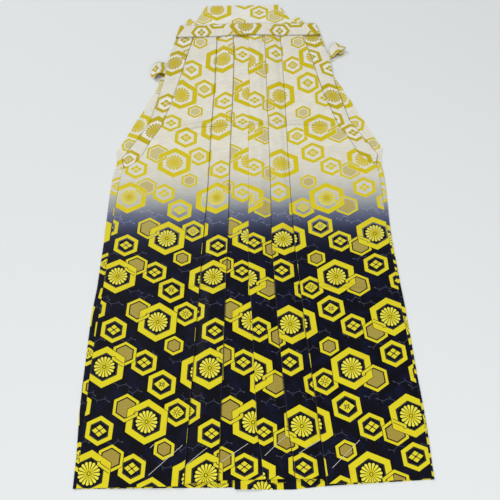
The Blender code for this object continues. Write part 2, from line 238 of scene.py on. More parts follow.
# Heights where the pleated panels' pull out of true is given
DRIFT_HEIGHTS = (
    0.04, 0.08, 0.12, 0.16, 0.24, 0.32, 0.40, 0.44, 0.52, 0.60, 0.68, 0.72, 0.76, 0.80, 0.84, 0.88, 0.92,
)
STILL = (0.0,) * len(DRIFT_HEIGHTS)


@dataclass(frozen=True)
class Grain:
    """How one panel's cloth lies: where a column of its motifs runs, and how its rows slope.

    Attributes:
        column: (height, distance across) rows of the motif's column, in metres.
        motif: the motif on that column.
        height: the height of one such motif.
        spacing: the height from one to the next as it lies.
        rise: how far the rows climb for each metre to the right.
        turned: whether the cloth is upside down.
        right: how far it is pulled to the right of true at each drift height, in millimetres.
        up: how far it is pulled up from true, the same way.
    """

    column: tuple
    motif: Motif
    height: float
    spacing: float = 0.1675
    rise: float = 0.0
    turned: bool = False
    right: tuple = STILL
    up: tuple = STILL

    def chart(self, x: Value, height: Value) -> tuple:
        """The cloth's own (across, along) millimetres at points of the garment.

        Args:
            x: places across the garment.
            height: their heights.

        Returns:
            The two coordinates.
        """
        rows = np.array(self.column, dtype=float)
        slopes = np.gradient(rows[:, 1], rows[:, 0]) if len(rows) > 1 else np.zeros(1)
        line = np.interp(height, rows[:, 0], rows[:, 1])
        line = line + np.minimum(height - rows[0, 0], 0.0) * slopes[0]
        line = line + np.maximum(height - rows[-1, 0], 0.0) * slopes[-1]
        across = (x - line) / MM
        across = across - np.interp(height, DRIFT_HEIGHTS, self.right)
        height = height - np.interp(height, DRIFT_HEIGHTS, self.up) * MM
        along = ((height - self.height) - self.rise * (x - line)) * REPEAT_TALL / self.spacing
        if self.turned:
            across, along = -across, -along
        return across + self.motif.value[0], along + self.motif.value[1]


@dataclass(frozen=True)
class Lay:
    """How cloth lies on a flat piece: a motif's place and the warp's turn from upright, in degrees."""

    motif: Motif
    x: float
    height: float
    degrees: float = 0.0

    def chart(self, x: Value, height: Value) -> tuple:
        """The cloth's own (across, along) millimetres at points of the garment.

        Args:
            x: places across the garment.
            height: their heights.

        Returns:
            The two coordinates.
        """
        turn = math.radians(self.degrees)
        right, up = (x - self.x) / MM, (height - self.height) / MM
        across = right * math.cos(turn) + up * math.sin(turn)
        along = up * math.cos(turn) - right * math.sin(turn)
        return across + self.motif.value[0], along + self.motif.value[1]


@dataclass(frozen=True)
class Parted:
    """Cloth that lies one way below a height and another way above it."""

    below: object
    above: object
    height: float

    def chart(self, x: Value, height: Value) -> tuple:
        """The cloth's own (across, along) millimetres at points of the garment."""
        low, high = self.below.chart(x, height), self.above.chart(x, height)
        return tuple(np.where(height > self.height, b, a) for a, b in zip(low, high))


@dataclass(frozen=True)
class Ridge:
    """A soft fold in the cloth: its middle, direction in degrees from across, and sizes in metres."""

    x: float
    height: float
    degrees: float
    half_length: float
    half_width: float
    rise: float
    bend: float = 0.0

    def lift(self, x: Value, height: Value) -> Value:
        """How far the ridge lifts the cloth at points of the garment.

        Args:
            x: places across the garment.
            height: their heights.

        Returns:
            The rise in metres.
        """
        turn = math.radians(self.degrees)
        right, up = x - self.x, height - self.height
        along = right * math.cos(turn) + up * math.sin(turn)
        across = up * math.cos(turn) - right * math.sin(turn) + self.bend * along * along
        shape = np.exp(-((across / self.half_width) ** 2))
        return self.rise * shape * plateau(along, 0.45 * self.half_length, 0.55 * self.half_length)

    def shade(self, x: Value, height: Value) -> Value:
        """How far the ridge's hem side lies in its own shade, 0 to 1."""
        below = Ridge(
            self.x, self.height - 0.8 * self.half_width, self.degrees, self.half_length,
            0.4 * self.half_width, 1.0, self.bend,
        )
        return below.lift(x, height)


def ridges(*rows: tuple) -> list:
    """Ridges from their values in order, with all but the degrees and the bend in millimetres."""
    scale = (MM, MM, 1.0, MM, MM, MM, 1.0)
    return [Ridge(*[part * by for part, by in zip(row, scale)]) for row in rows]


# Storage folds across the garment
STORAGE_FOLDS = ridges(
    (-50, 690, 1, 90, 3.6, 2.1, 0.10), (-128, 684, 8, 45, 4, 2, -0.60),
    (-118, 699, 10, 36, 3.4, 1.5, 0.50), (52, 692, -1.5, 60, 3.6, 1.9, 0.20),
    (128, 689, -2, 60, 3.4, 2.2, -0.10), (112, 703, 3, 40, 3.2, 0.9),
    (-150, 334, 1.5, 110, 4, 1.6, 0.10), (-30, 332, -0.5, 60, 4, 1.4), (55, 334, 1, 50, 3.8, 1.5),
    (180, 330, -2, 90, 4.2, 1.8, -0.08),
)
# With the smaller folds round them
RIDGES = STORAGE_FOLDS + ridges(
    (-138, 815, 62, 50, 6, 0.8, 0.60), (-100, 858, 12, 28, 5, 0.5), (118, 790, -65, 52, 6, 0.8, -0.50),
    (100, 872, -10, 26, 5, 0.5), (-195, 560, 36, 55, 8, 1, 0.30), (-160, 612, 24, 60, 8, 0.8, -0.30),
    (190, 566, -34, 55, 8, 1, -0.30), (150, 622, -22, 58, 8, 0.8, 0.20),
    (-190, 452, 6, 60, 9, 0.6, 0.20), (182, 470, -5, 66, 9, 0.6, -0.20), (-205, 208, -4, 55, 10, 0.6),
    (200, 196, 6, 60, 10, 0.6), (-180, 86, 5, 60, 8, 0.5, 0.20), (190, 92, -3, 62, 8, 0.5),
    (-70, 585, 80, 70, 5, 0.4), (62, 560, 96, 80, 5, 0.4), (-75, 250, 84, 70, 6, 0.4),
    (82, 240, 94, 70, 6, 0.4),
)
# Folds of the wings beside the slits
WING_RIDGES = ridges(
    (-226, 668, 52, 40, 4.5, 1.1, 0.80), (-205, 745, 66, 38, 4, 0.8, -0.60),
    (-236, 640, 20, 22, 3.5, 0.8), (224, 672, -54, 40, 4.5, 1.1, -0.80),
    (204, 742, -64, 36, 4, 0.8, 0.60), (238, 640, -16, 22, 3.5, 0.8),
)
# Where what lies under the front lifts it: middle, height, half sizes, fall and rise
TIE_LIFTS = [
    (-0.180, 0.830, 0.032, 0.055, 0.028, 2 * LAYER),
    (0.180, 0.872, 0.036, 0.040, 0.028, 2 * LAYER),
    (-0.155, 0.955, 0.036, 0.024, 0.022, 0.0011),
    (0.155, 0.955, 0.036, 0.024, 0.022, 0.0011),
]


def front_lift(x: Value, height: Value) -> Value:
    """How far the front's layers stand above the flat back's, with their soft folds.

    Args:
        x: places across the garment.
        height: their heights.

    Returns:
        The rise in metres.
    """
    narrowing = smooth_step(height, *CENTRE_NARROWS)
    half = CENTRE_LOW_HALF + (CENTRE_HIGH_HALF - CENTRE_LOW_HALF) * narrowing
    lift = STACK_LAYERS * LAYER * plateau(x, half, CENTRE_FALL)
    for middle, up, half_x, half_height, fall, rise in TIE_LIFTS:
        lift = lift + rise * plateau(x - middle, half_x, fall) * plateau(height - up, half_height, fall)
    calm = 1.0 - smooth_step(height, 0.895, 0.930)
    folds = sum(ridge.lift(x, height) for ridge in RIDGES)
    drift = np.sin(x * 47.0 + height * 21.0 + 0.7) * np.sin(height * 33.0 - x * 16.0)
    return lift + calm * (folds + 0.00022 * (1.0 + drift))


def storage_shade(x: Value, height: Value) -> Value:
    """The shade along the storage folds, 0 to 1."""
    dark = 0.42 + 0.16 * smooth_step(height, 0.35, 0.45)
    return dark * np.clip(sum(ridge.shade(x, height) for ridge in STORAGE_FOLDS), 0.0, 1.0)


def wing_lift(x: Value, height: Value) -> Value:
    """How far the back's side wings lift off the surface.

    Args:
        x: places across the garment.
        height: their heights.

    Returns:
        The rise in metres.
    """
    inside = read(STRIP_EDGE, height)
    free = smooth_step(np.abs(x) - inside, 0.001, 0.010) * smooth_step(height, 0.605, 0.630)
    return free * sum(ridge.lift(x, height) for ridge in WING_RIDGES)


def hem_step(table: Sequence, x: Value, height: Value) -> Value:
    """The hem's own step up or down, which fades out above it."""
    return read(table, x) * np.maximum(0.0, 1.0 - height / HEM_FADE)


def row_heights(start: float, end: float, extra: Sequence = ()) -> np.ndarray:
    """Heights of a piece's rows, evenly spaced, with named heights among them.

    Args:
        start: the lowest row.
        end: the highest row.
        extra: heights that have a row of their own.

    Returns:
        The rows' heights, rising.
    """
    count = max(2, round((end - start) / ROW_STEP) + 1)
    rows = np.concatenate([np.linspace(start, end, count), np.array(extra, dtype=float)])
    rows = np.unique(np.round(rows[(rows >= start) & (rows <= end)], 5))
    keep = np.concatenate([[True], np.diff(rows) > 0.0008])
    keep |= np.isin(rows, np.round(np.array([start, end, *extra]), 5))
    return rows[keep]


class Section:
    """A section across the cloth, laid from its outer edge inward for all rows at once."""

    def __init__(self, side: int, heights: np.ndarray) -> None:
        """Starts an empty section on one side of the garment.

        Args:
            side: -1 on the left, 1 on the right.
            heights: the rows' heights.
        """
        self.side = side
        self.heights = heights
        self.columns = []

    def put(
        self, distance: Value, level: Value, unfolded: Value | None = None, grain: int = 0,
        crevice: Value = 0.0, edge: Value = 0.0,
    ) -> None:
        """Adds one column.

        Args:
            distance: how far from the centre line, on this section's side.
            level: layers above the lowest.
            unfolded: the distance that the point has when the fold is opened.
            grain: which of the piece's grains the cloth before it follows.
            crevice: how far the column lies in a fold's shade, 0 to 1.
            edge: how much painted highlight it gets on a pressed fold edge, 0 to 1.
        """
        zeros = np.zeros_like(self.heights)
        opened = distance if unfolded is None else unfolded
        parts = (distance, level, opened, crevice, edge)
        self.columns.append([zeros + part for part in parts] + [grain])

    def panel(
        self, start: Value, start_level: Value, end: Value, end_level: Value, shares: Sequence,
        grain: int = 0,
    ) -> None:
        """Adds a panel that rises softly across its width.

        Args:
            start: the distance where it starts.
            start_level: its layer there.
            end: the distance where it ends.
            end_level: its layer there.
            shares: where its columns lie, 0 to 1.
            grain: which of the piece's grains it follows.
        """
        for share in shares:
            level = start_level + (end_level - start_level) * smooth_step(share, 0.0, 1.0)
            self.put(start + (end - start) * share, level, grain=grain)

    def hairpin(
        self, centre: Value, level: float, outward: bool, opened: Value, grain: int = 0,
        edge: float = 1.0, rising: bool = False,
    ) -> Value:
        """Adds a hairpin turn between two layers, and gives what its end has when opened.

        Args:
            centre: the turn's middle.
            level: the layer of its middle.
            outward: whether it bulges away from the centre line.
            opened: its start's distance when opened.
            grain: which of the piece's grains it follows.
            edge: how strong the painted highlight on its crest is.
            rising: whether it runs from the lower layer up.

        Returns:
            The end's distance when opened.
        """
        angles = np.radians(np.linspace(90, -90, 9))
        way = 1 if outward else -1
        for angle in angles[::-1] if rising else angles:
            arc = TURN_RADIUS * (math.pi / 2 - angle if not rising else math.pi / 2 + angle)
            crest = edge * max(0.0, math.cos(angle)) ** 2
            place = centre + way * TURN_RADIUS * math.cos(angle)
            self.put(place, level + 0.5 * math.sin(angle), opened + way * arc, grain, 0.0, crest)
        return opened + way * TURN_RADIUS * math.pi

    def arrays(self) -> tuple:
        """The columns as arrays of rows by columns, and the list of grains."""
        stacked = [np.stack([column[at] for column in self.columns], axis=1) for at in range(5)]
        return stacked, [column[5] for column in self.columns]


def in_scene(name: str, data: bpy.types.ID) -> Item:
    """A new object of some data, linked to the scene.

    Args:
        name: its name.
        data: its mesh, curve, light or camera.

    Returns:
        The object.
    """
    item = bpy.data.objects.new(name, data)
    bpy.context.scene.collection.objects.link(item)
    return item


def plain_mesh(item: Item, name: str) -> bpy.types.Mesh:
    """The mesh that an object's modifiers make, after which the object is removed.

    Args:
        item: the object with live modifiers.
        name: the mesh's name.

    Returns:
        The finished mesh.
    """
    graph = bpy.context.evaluated_depsgraph_get()
    mesh = bpy.data.meshes.new_from_object(item.evaluated_get(graph), depsgraph=graph)
    mesh.name = name
    bpy.data.objects.remove(item)
    mesh.shade_smooth()
    return mesh


def grid_mesh(
    name: str, points: np.ndarray, charts: tuple, crevice: np.ndarray, edge: np.ndarray,
    skip: np.ndarray | None = None,
) -> bpy.types.Mesh:
    """A mesh of a grid of points with its chart and shading attributes.

    Args:
        name: the mesh's name.
        points: rows by columns by three.
        charts: (start, end) charts of each interval between columns, rows by intervals by two.
        crevice: the painted shade of each point, rows by columns.
        edge: the painted highlight of each point, rows by columns.
        skip: a mask of faces that are left out, rows - 1 by columns - 1.

    Returns:
        The new mesh.
    """
    rows, columns = points.shape[:2]
    index = np.arange(rows * columns).reshape(rows, columns)
    keep = np.ones((rows - 1, columns - 1), dtype=bool) if skip is None else ~skip
    row_at, column_at = np.nonzero(keep)
    corners = ((0, 0), (0, 1), (1, 1), (1, 0))
    faces = np.stack([index[row_at + r, column_at + c] for r, c in corners], axis=1)
    loops = np.stack([charts[c][row_at + r, column_at] for r, c in corners], axis=1)
    used, flat = np.unique(faces, return_inverse=True)
    faces = flat.reshape(faces.shape)
    mesh = bpy.data.meshes.new(name)
    mesh.from_pydata(points.reshape(-1, 3)[used].tolist(), [], faces.tolist())
    layer = mesh.uv_layers.new(name="cut")
    layer.data.foreach_set("uv", (loops * MM).reshape(-1))
    # The painted shade and painted highlight that the brocade's shader reads
    for word, values in (("crevice", crevice), ("pressed", edge)):
        attribute = mesh.attributes.new(word, "FLOAT", "POINT")
        attribute.data.foreach_set("value", values.reshape(-1)[used])
    return mesh


def walled(name: str, mesh: bpy.types.Mesh, wall: float, sharp_degrees: float = 48.0) -> Item:
    """A cloth wall on a mesh, as a plain mesh object.

    Args:
        name: the piece's name.
        mesh: the middle surface.
        wall: the wall's thickness.
        sharp_degrees: edges steeper than this stay crisp.

    Returns:
        The new object, linked to the scene.
    """
    draft = in_scene(name + "_draft", mesh)
    solid = draft.modifiers.new("wall", "SOLIDIFY")
    solid.thickness = wall
    solid.offset = 0.0
    solid.use_even_offset = False
    solid.use_quality_normals = True
    made = plain_mesh(draft, name)
    made.set_sharp_from_angle(angle=math.radians(sharp_degrees))
    return in_scene(name, made)


def one_side_area(points: np.ndarray) -> float:
    """The area of a grid's middle surface.

    Args:
        points: rows by columns by three.

    Returns:
        Its area in square metres.
    """
    along = points[1:, :-1] - points[:-1, :-1]
    across = points[:-1, 1:] - points[:-1, :-1]
    return float(np.linalg.norm(np.cross(along, across), axis=2).sum())


MATH = "ShaderNodeMath"
VECTOR = "ShaderNodeVectorMath"
MIX = "ShaderNodeMix"
SPLIT = "ShaderNodeSeparateXYZ"
JOIN = "ShaderNodeCombineXYZ"
RANGE = "ShaderNodeMapRange"
NOISE = "ShaderNodeTexNoise"
GROUP = "ShaderNodeGroup"


class Do(Enum):
    """Kinds of node that reckon with numbers, or with vectors, by what each one does."""

    PLUS = (MATH, "ADD")
    MINUS = (MATH, "SUBTRACT")
    TIMES = (MATH, "MULTIPLY")
    SHARE = (MATH, "DIVIDE")
    LINE = (MATH, "MULTIPLY_ADD")
    MOST = (MATH, "MAXIMUM")
    LEAST = (MATH, "MINIMUM")
    UNDER = (MATH, "LESS_THAN")
    PAST = (MATH, "GREATER_THAN")
    NEAR = (MATH, "COMPARE")
    SIZE = (MATH, "ABSOLUTE")
    WAVE = (MATH, "SINE")
    ZIGZAG = (MATH, "PINGPONG")
    ANGLE = (MATH, "ARCTAN2")
    WHOLE = (MATH, "ROUND")
    V_PLUS = (VECTOR, "ADD")
    V_MINUS = (VECTOR, "SUBTRACT")
    V_TIMES = (VECTOR, "MULTIPLY")
    V_SCALE = (VECTOR, "SCALE")
    V_WRAP = (VECTOR, "WRAP")
    V_SIZE = (VECTOR, "ABSOLUTE")
    V_DOT = (VECTOR, "DOT_PRODUCT")
    V_LENGTH = (VECTOR, "LENGTH")
    V_MOST = (VECTOR, "MAXIMUM")


class Nodes:
    """A node tree being wired, to which a call adds a node."""

    def __init__(self, tree: Tree) -> None:
        """Keeps the tree."""
        self.tree = tree

    def __call__(
        self, kind: str, *values: object, out: int | str = 0, named: dict | None = None,
        **settings: object
    ) -> Socket:
        """Adds a node.

        Args:
            kind: the node's type, or one that reckons.
            values: its inputs in order, each a value, a socket to link, or None.
            out: the index or name of the output that is given back.
            named: further inputs by index or name.
            settings: the node's own properties.

        Returns:
            The chosen output.
        """
        if isinstance(kind, Do):
            kind, settings["operation"] = kind.value
        node = self.tree.nodes.new(kind)
        for word, value in settings.items():
            setattr(node, word, value)
        for key, value in [*enumerate(values), *(named or {}).items()]:
            if isinstance(value, bpy.types.NodeSocket):
                self.tree.links.new(value, node.inputs[key])
            elif value is not None:
                node.inputs[key].default_value = value
        return node.outputs[out] if node.outputs else node


def blank_material(name: str) -> tuple:
    """A new material with nothing in its tree.

    Args:
        name: the material's name.

    Returns:
        The material and its tree's builder.
    """
    material = bpy.data.materials.new(name)
    material.use_nodes = True
    material.node_tree.nodes.clear()
    return material, Nodes(material.node_tree)


class Weave:
    """The charted repeat of kikko hexagons as node groups, in millimetres of cloth."""

    line_inset = 1.5  # from the frame to its thin inner line
    line_half = 0.85
    margin = 0.9  # of ground that shows round each hexagon
    flower_radius = 17.6
    flower_petals = 16
    petal_bow = -11.0  # how much shorter a petal is beside its middle
    petal_groove = (0.058, -0.02)  # half width for each millimetre out, and at the centre
    flower_ring = (2.5, 0.55)
    flower_eye = 1.9
    diamond = (11.9, 9.2)  # half sizes of the one in four parts
    diamond_groove = 0.10
    diamond_heart = 0.20
    stroked_diamond = (12.9, 10.2)
    stroke = 0.105
    stroke_stretch = (0.42, 0.26)
    cross_stroke = 0.42  # half width of the strokes along its middle lines
    cross_stretch = (3.4, 2.0)
    petal_rim = (9.6, 11.6)
    petal_stroke = 0.40
    petal_stretch = (4.9, 3.0)
    sprig_half = 0.40
    sprigs = (  # x, height, turn in radians and half length
        (-47.0, 55.0, 0.10, 17.0), (-24.0, 46.0, -0.20, 12.0), (-46.0, -35.0, -0.25, 13.0),
        (84.0, 30.0, 0.05, 16.0), (64.0, 40.0, 0.30, 12.0), (40.0, 100.0, 0.20, 14.0),
        (64.0, -38.0, -0.15, 13.0), (-8.0, -56.0, 0.10, 15.0),
    )
    sprig_waves = 5.0
    sprig_swing = 1.7
    # Tendrils: share along the stem, height, radius, and the side that is open
    curls = ((-0.90, 3.8, 2.1, -1.0), (-0.33, -3.5, 1.8, -1.0), (0.30, 3.3, 1.6, 1.0))

    def __init__(self) -> None:
        """Builds the groups that the brocades share."""
        self.hexagon = self._hexagon()
        self.sprig = self._sprig()
        self.chrysanthemum = self._chrysanthemum()
        self.four_diamonds = self._rhombus("four_diamonds", *self.diamond, False)
        self.diamond_flower = self._rhombus("diamond_flower", *self.stroked_diamond, True)
        self.petals = self._petals()
        self.repeat = self._repeat()

    @staticmethod
    def _group(name: str, inputs: dict, outputs: dict) -> tuple:
        """An empty group with its sockets.

        Args:
            name: the group's name.
            inputs: each input's kind by name.
            outputs: each output's kind by name.

        Returns:
            The tree's builder, the group input's sockets and the group output node.
        """
        tree = bpy.data.node_groups.new(name, "ShaderNodeTree")
        for in_out, sockets in (("INPUT", inputs), ("OUTPUT", outputs)):
            for word, kind in sockets.items():
                tree.interface.new_socket(word, in_out=in_out, socket_type="NodeSocket" + kind)
        entry = tree.nodes.new("NodeGroupInput")
        leave = tree.nodes.new("NodeGroupOutput")
        return Nodes(tree), entry.outputs, leave

    @staticmethod
    def _close(make: Nodes, leave: bpy.types.Node, **sockets: Socket) -> Tree:
        """Links a group's outputs.

        Args:
            make: the tree's builder.
            leave: the group's output node.
            sockets: what each named output gets.

        Returns:
            The tree.
        """
        for word, socket in sockets.items():
            make.tree.links.new(socket, leave.inputs[word])
        return make.tree

    def _hexagon(self) -> Tree:
        """One hexagon of the repeat: a gold frame, with a shaded fill or a thin inner line.

        Returns:
            The group.
        """
        sizes = {word: "Float" for word in ("Half width", "Frame", "Gap", "Fill", "Line", "Margin")}
        inputs = {"Chart": "Vector", "Centre": "Vector", **sizes}
        outputs = {"Local": "Vector", "Inside": "Float", "Threads": "Vector"}
        make, given, leave = self._group("kikko_hexagon", inputs, outputs)
        half = (REPEAT_WIDE / 2, REPEAT_TALL / 2, 1.0)
        moved = make(Do.V_MINUS, given["Chart"], given["Centre"])
        local = make(Do.V_WRAP, moved, half, tuple(-size for size in half))
        size = make(Do.V_SIZE, local)
        wide = make(SPLIT, size)
        tall = wide.node.outputs[1]
        slant = make(Do.TIMES, tall, HEXAGON_SLANT)
        slant = make(Do.LINE, wide, 0.5, slant)
        reach = make(Do.MOST, wide, slant)
        whole = make(Do.UNDER, reach, given["Half width"])
        covered = make(Do.PLUS, given["Half width"], given["Margin"])
        inside = make(Do.UNDER, reach, covered)
        inner = make(Do.MINUS, given["Half width"], given["Frame"])
        within = make(Do.UNDER, reach, inner)
        gold = make(Do.MINUS, whole, within)
        edge = make(Do.MINUS, inner, given["Gap"])
        fill = make(Do.TIMES, make(Do.UNDER, reach, edge), given["Fill"])
        line = make(Do.MINUS, inner, self.line_inset)
        line = make(Do.TIMES, make(Do.NEAR, reach, line, self.line_half), given["Line"])
        line = make(Do.TIMES, make(Do.PLUS, line, within), 0.5)
        threads = make(JOIN, gold, fill, line)
        return self._close(make, leave, Local=local, Inside=inside, Threads=threads)

    def _polar(self, make: Nodes, local: Socket, petals: int) -> tuple:
        """A point's radius, and its share of the way from a petal's middle to the next gap.

        Args:
            make: the tree's builder.
            local: the point from the motif's centre.
            petals: how many petals go round.

        Returns:
            The radius and the share.
        """
        radius = make(Do.V_LENGTH, local, out="Value")
        across = make(SPLIT, local)
        angle = make(Do.TIMES, make(Do.ANGLE, across.node.outputs[1], across), petals / math.tau)
        return radius, make(Do.ZIGZAG, angle, 0.5)

    def _chrysanthemum(self) -> Tree:
        """A chrysanthemum of rounded petals round a small eye, paler towards their tips.

        Returns:
            The group.
        """
        outputs = {"Gold": "Float", "Shade": "Float", "Paleness": "Float"}
        inputs = {"Local": "Vector"}
        make, given, leave = self._group("chrysanthemum", inputs, outputs)
        radius, share = self._polar(make, given["Local"], self.flower_petals)
        bow = make(Do.TIMES, share, share)
        tip = make(Do.LINE, bow, self.petal_bow, self.flower_radius)
        disc = make(Do.UNDER, radius, tip)
        aside = make(Do.TIMES, make(Do.MINUS, 0.5, share), math.tau / self.flower_petals)
        aside = make(Do.TIMES, aside, radius)
        groove = make(Do.LINE, radius, *self.petal_groove)
        petal = make(Do.PAST, aside, groove)
        ring = make(Do.NEAR, radius, *self.flower_ring)
        petal = make(Do.MINUS, petal, ring, use_clamp=True)
        eye = make(Do.UNDER, radius, self.flower_eye)
        petal = make(Do.MOST, petal, eye)
        gold = make(Do.TIMES, petal, disc)
        shade = make(Do.MINUS, disc, gold)
        paling = (0.25 * self.flower_radius, 0.80 * self.flower_radius, 0.0, 1.0)
        pale = make(RANGE, radius, *paling)
        return self._close(make, leave, Gold=gold, Shade=shade, Paleness=pale)

    def _rhombus(self, name: str, half_wide: float, half_tall: float, flowery: bool) -> Tree:
        """A rhombus parted into four by thin grooves, or into petals by short strokes.

        Args:
            name: the group's name.
            half_wide: half its width.
            half_tall: half its height.
            flowery: whether strokes take the place of grooves.

        Returns:
            The group.
        """
        outputs = {"Gold": "Float", "Shade": "Float"}
        make, given, leave = self._group(name, {"Local": "Vector"}, outputs)
        sides = []
        for sign in (1, -1):
            normal = (1 / half_wide, sign / half_tall, 0.0)
            side = make(Do.V_DOT, given["Local"], normal, out="Value")
            sides.append(make(Do.SIZE, side))
        far = make(Do.MOST, *sides)
        near = make(Do.LEAST, *sides)
        whole = make(Do.UNDER, far, 1.0)
        if flowery:
            groove = make(Do.UNDER, near, self.stroke)
            stretch = make(Do.NEAR, far, *self.stroke_stretch)
            groove = make(Do.TIMES, groove, stretch)
            size = make(Do.V_SIZE, given["Local"])
            wide = make(SPLIT, size)
            tall = wide.node.outputs[1]
            least = make(Do.LEAST, wide, tall)
            most = make(Do.MOST, wide, tall)
            cross = make(Do.UNDER, least, self.cross_stroke)
            short = make(Do.NEAR, most, *self.cross_stretch)
            cross = make(Do.TIMES, cross, short)
            groove = make(Do.MOST, groove, cross)
        else:
            groove = make(Do.UNDER, near, self.diamond_groove)
            heart = make(Do.UNDER, far, self.diamond_heart)
            groove = make(Do.MOST, groove, heart)
        gold = make(Do.MINUS, whole, groove, use_clamp=True)
        shade = make(Do.MINUS, whole, gold)
        return self._close(make, leave, Gold=gold, Shade=shade)

    def _petals(self) -> Tree:
        """A flower of four broad petals, each with a fine middle stroke.

        Returns:
            The group.
        """
        outputs = {"Gold": "Float", "Shade": "Float"}
        make, given, leave = self._group("four_petals", {"Local": "Vector"}, outputs)
        squat = make(Do.V_TIMES, given["Local"], (1.0, 1.15, 1.0))
        radius, share = self._polar(make, squat, 4)
        bow = make(Do.TIMES, make(Do.PLUS, share, -1.0), share)
        rim = make(Do.LINE, bow, *self.petal_rim)
        whole = make(Do.UNDER, radius, rim)
        aside = make(Do.MINUS, 0.5, share)
        least = make(Do.TIMES, make(Do.LEAST, aside, share), radius)
        groove = make(Do.UNDER, least, self.petal_stroke)
        short = make(Do.NEAR, radius, *self.petal_stretch)
        groove = make(Do.TIMES, groove, short)
        gold = make(Do.MINUS, whole, groove, use_clamp=True)
        shade = make(Do.MINUS, whole, gold)
        return self._close(make, leave, Gold=gold, Shade=shade)

    def _sprig(self) -> Tree:
        """A thin waving stem with hooked tendrils and a leaf's tip at one end, about its middle.

        Returns:
            The group.
        """
        inputs = {"Chart": "Vector", "Centre": "Vector", "Turn": "Float", "Half length": "Float"}
        make, given, leave = self._group("ground_sprig", inputs, {"Line": "Float"})
        half = (REPEAT_WIDE / 2, REPEAT_TALL / 2, 1.0)
        moved = make(Do.V_MINUS, given["Chart"], given["Centre"])
        local = make(Do.V_WRAP, moved, half, tuple(-size for size in half))
        turn = {"Vector": local, "Angle": given["Turn"]}
        local = make("ShaderNodeVectorRotate", named=turn, rotation_type="Z_AXIS")
        along = make(SPLIT, local)
        up = along.node.outputs[1]
        reach = make(Do.SHARE, along, given["Half length"])
        wave = make(Do.WAVE, make(Do.TIMES, reach, self.sprig_waves))
        above = make(Do.SIZE, make(Do.LINE, wave, -self.sprig_swing, up))
        stem = make(Do.UNDER, above, self.sprig_half)
        leaf = make(Do.LINE, reach, -6.0, 6.0)
        tip = make(Do.PAST, reach, 0.76)
        leaf = make(Do.TIMES, leaf, tip)
        leaf = make(Do.UNDER, above, leaf)
        line = make(Do.MOST, stem, leaf)
        for share, level, radius, side in self.curls:
            aside = make(Do.TIMES, make(Do.PLUS, reach, -share), given["Half length"])
            beyond = make(Do.PLUS, up, -level)
            away = make(Do.V_LENGTH, make(JOIN, aside, beyond, 0.0), out="Value")
            ring = make(Do.NEAR, away, radius, self.sprig_half * 0.8)
            half_ring = make(Do.PAST, make(Do.TIMES, aside, side), -0.4)
            ring = make(Do.TIMES, ring, half_ring)
            line = make(Do.MOST, line, ring)
        within = make(Do.UNDER, make(Do.SIZE, reach), 1.0)
        line = make(Do.TIMES, line, within)
        return self._close(make, leave, Line=line)

    def _sprigs(self, make: Nodes, chart: Socket) -> Socket:
        """The thin sprigs woven in the ground between the hexagons.

        Args:
            make: the tree's builder.
            chart: the place on the cloth.

        Returns:
            1 on a sprig, or else 0.
        """
        line = 0.0
        for x, y, turn, half_length in self.sprigs:
            given = (chart, (x, y, 0.0), turn, half_length)
            sprig = make(GROUP, *given, node_tree=self.sprig)
            line = make(Do.MOST, sprig, line)
        return line

    def _sector(self, make: Nodes, local: Socket, threads: Socket, side: float, top: float) -> Socket:
        """The piece of a shaded hexagon's frame that is woven over its neighbour's.

        Args:
            make: the tree's builder.
            local: the point from the hexagon's centre.
            threads: the hexagon's threads.
            side: 1 for its right half, -1 for its left.
            top: the height where the piece ends.

        Returns:
            1 on the piece, or else 0.
        """
        across = make(SPLIT, local)
        up = across.node.outputs[1]
        aside = make(Do.TIMES, across, side)
        beyond = make(Do.PAST, aside, 0.0)
        below = make(Do.UNDER, up, top)
        gold = make(SPLIT, threads)
        strip = make(Do.TIMES, gold, beyond)
        return make(Do.TIMES, strip, below)

    def _repeat(self) -> Tree:
        """The whole repeat.

        Its threads are gold, shaded fill, and a third that is 0.5 inside a frame, 1 on its inner line
        and 2 on sprigs, and more than 0.5 on a flower by its paleness. Its shade is a motif's grooves.

        Returns:
            The group.
        """
        outputs = {"Threads": "Vector", "Shade": "Float"}
        make, given, leave = self._group("kikko_repeat", {"Chart": "Vector"}, outputs)
        chart = given["Chart"]
        def hexagon(
            motif: Motif, half_width: float, frame_width: float, gap: float = 0.0, fill: float = 0.0,
            line: float = 0.0, where: Socket = chart,
        ) -> tuple:
            """Adds one hexagon of the repeat.

            Args:
                motif: the motif whose centre it has.
                half_width: from its centre to its side.
                frame_width: its gold frame.
                gap: the bare ring inside the frame.
                fill: 1 for a shaded fill.
                line: 1 for a thin inner line.
                where: the place on the cloth.

            Returns:
                Its local, inside and threads outputs.
            """
            sizes = (half_width, frame_width, gap, fill, line, self.margin)
            first = make(GROUP, None, (*motif.value, 0.0), node_tree=self.hexagon)
            node = first.node
            make.tree.links.new(where, node.inputs["Chart"])
            for word, value in zip(("Half width", "Frame", "Gap", "Fill", "Line", "Margin"), sizes):
                node.inputs[word].default_value = value
            return node.outputs["Local"], node.outputs["Inside"], node.outputs["Threads"]

        def with_motif(local: Socket, threads: Socket, tree: Tree) -> Socket:
            """Adds a motif to a hexagon's threads, its gold as 1 and its grooves as -1.

            Args:
                local: the point from the centre.
                threads: the hexagon's threads.
                tree: the motif's group.

            Returns:
                The threads with the motif.
            """
            gold = make(GROUP, local, node_tree=tree)
            signed = make(Do.MINUS, gold, gold.node.outputs["Shade"])
            pale = gold.node.outputs.get("Paleness")
            of_gold, of_shade = (0.15, 0.90) if pale is None else (pale, pale)
            marked = make(Do.TIMES, of_gold, gold)
            edge = make(Do.TIMES, of_shade, gold.node.outputs["Shade"])
            marked = make(Do.PLUS, marked, edge)
            own = make(JOIN, signed, 0.0, marked)
            return make(Do.V_PLUS, threads, own)

        def over(below: Socket, above: Socket | tuple, mask: Socket) -> Socket:
            """Lays threads over others."""
            return make(MIX, mask, named={4: below, 5: above}, out=1, data_type="VECTOR")

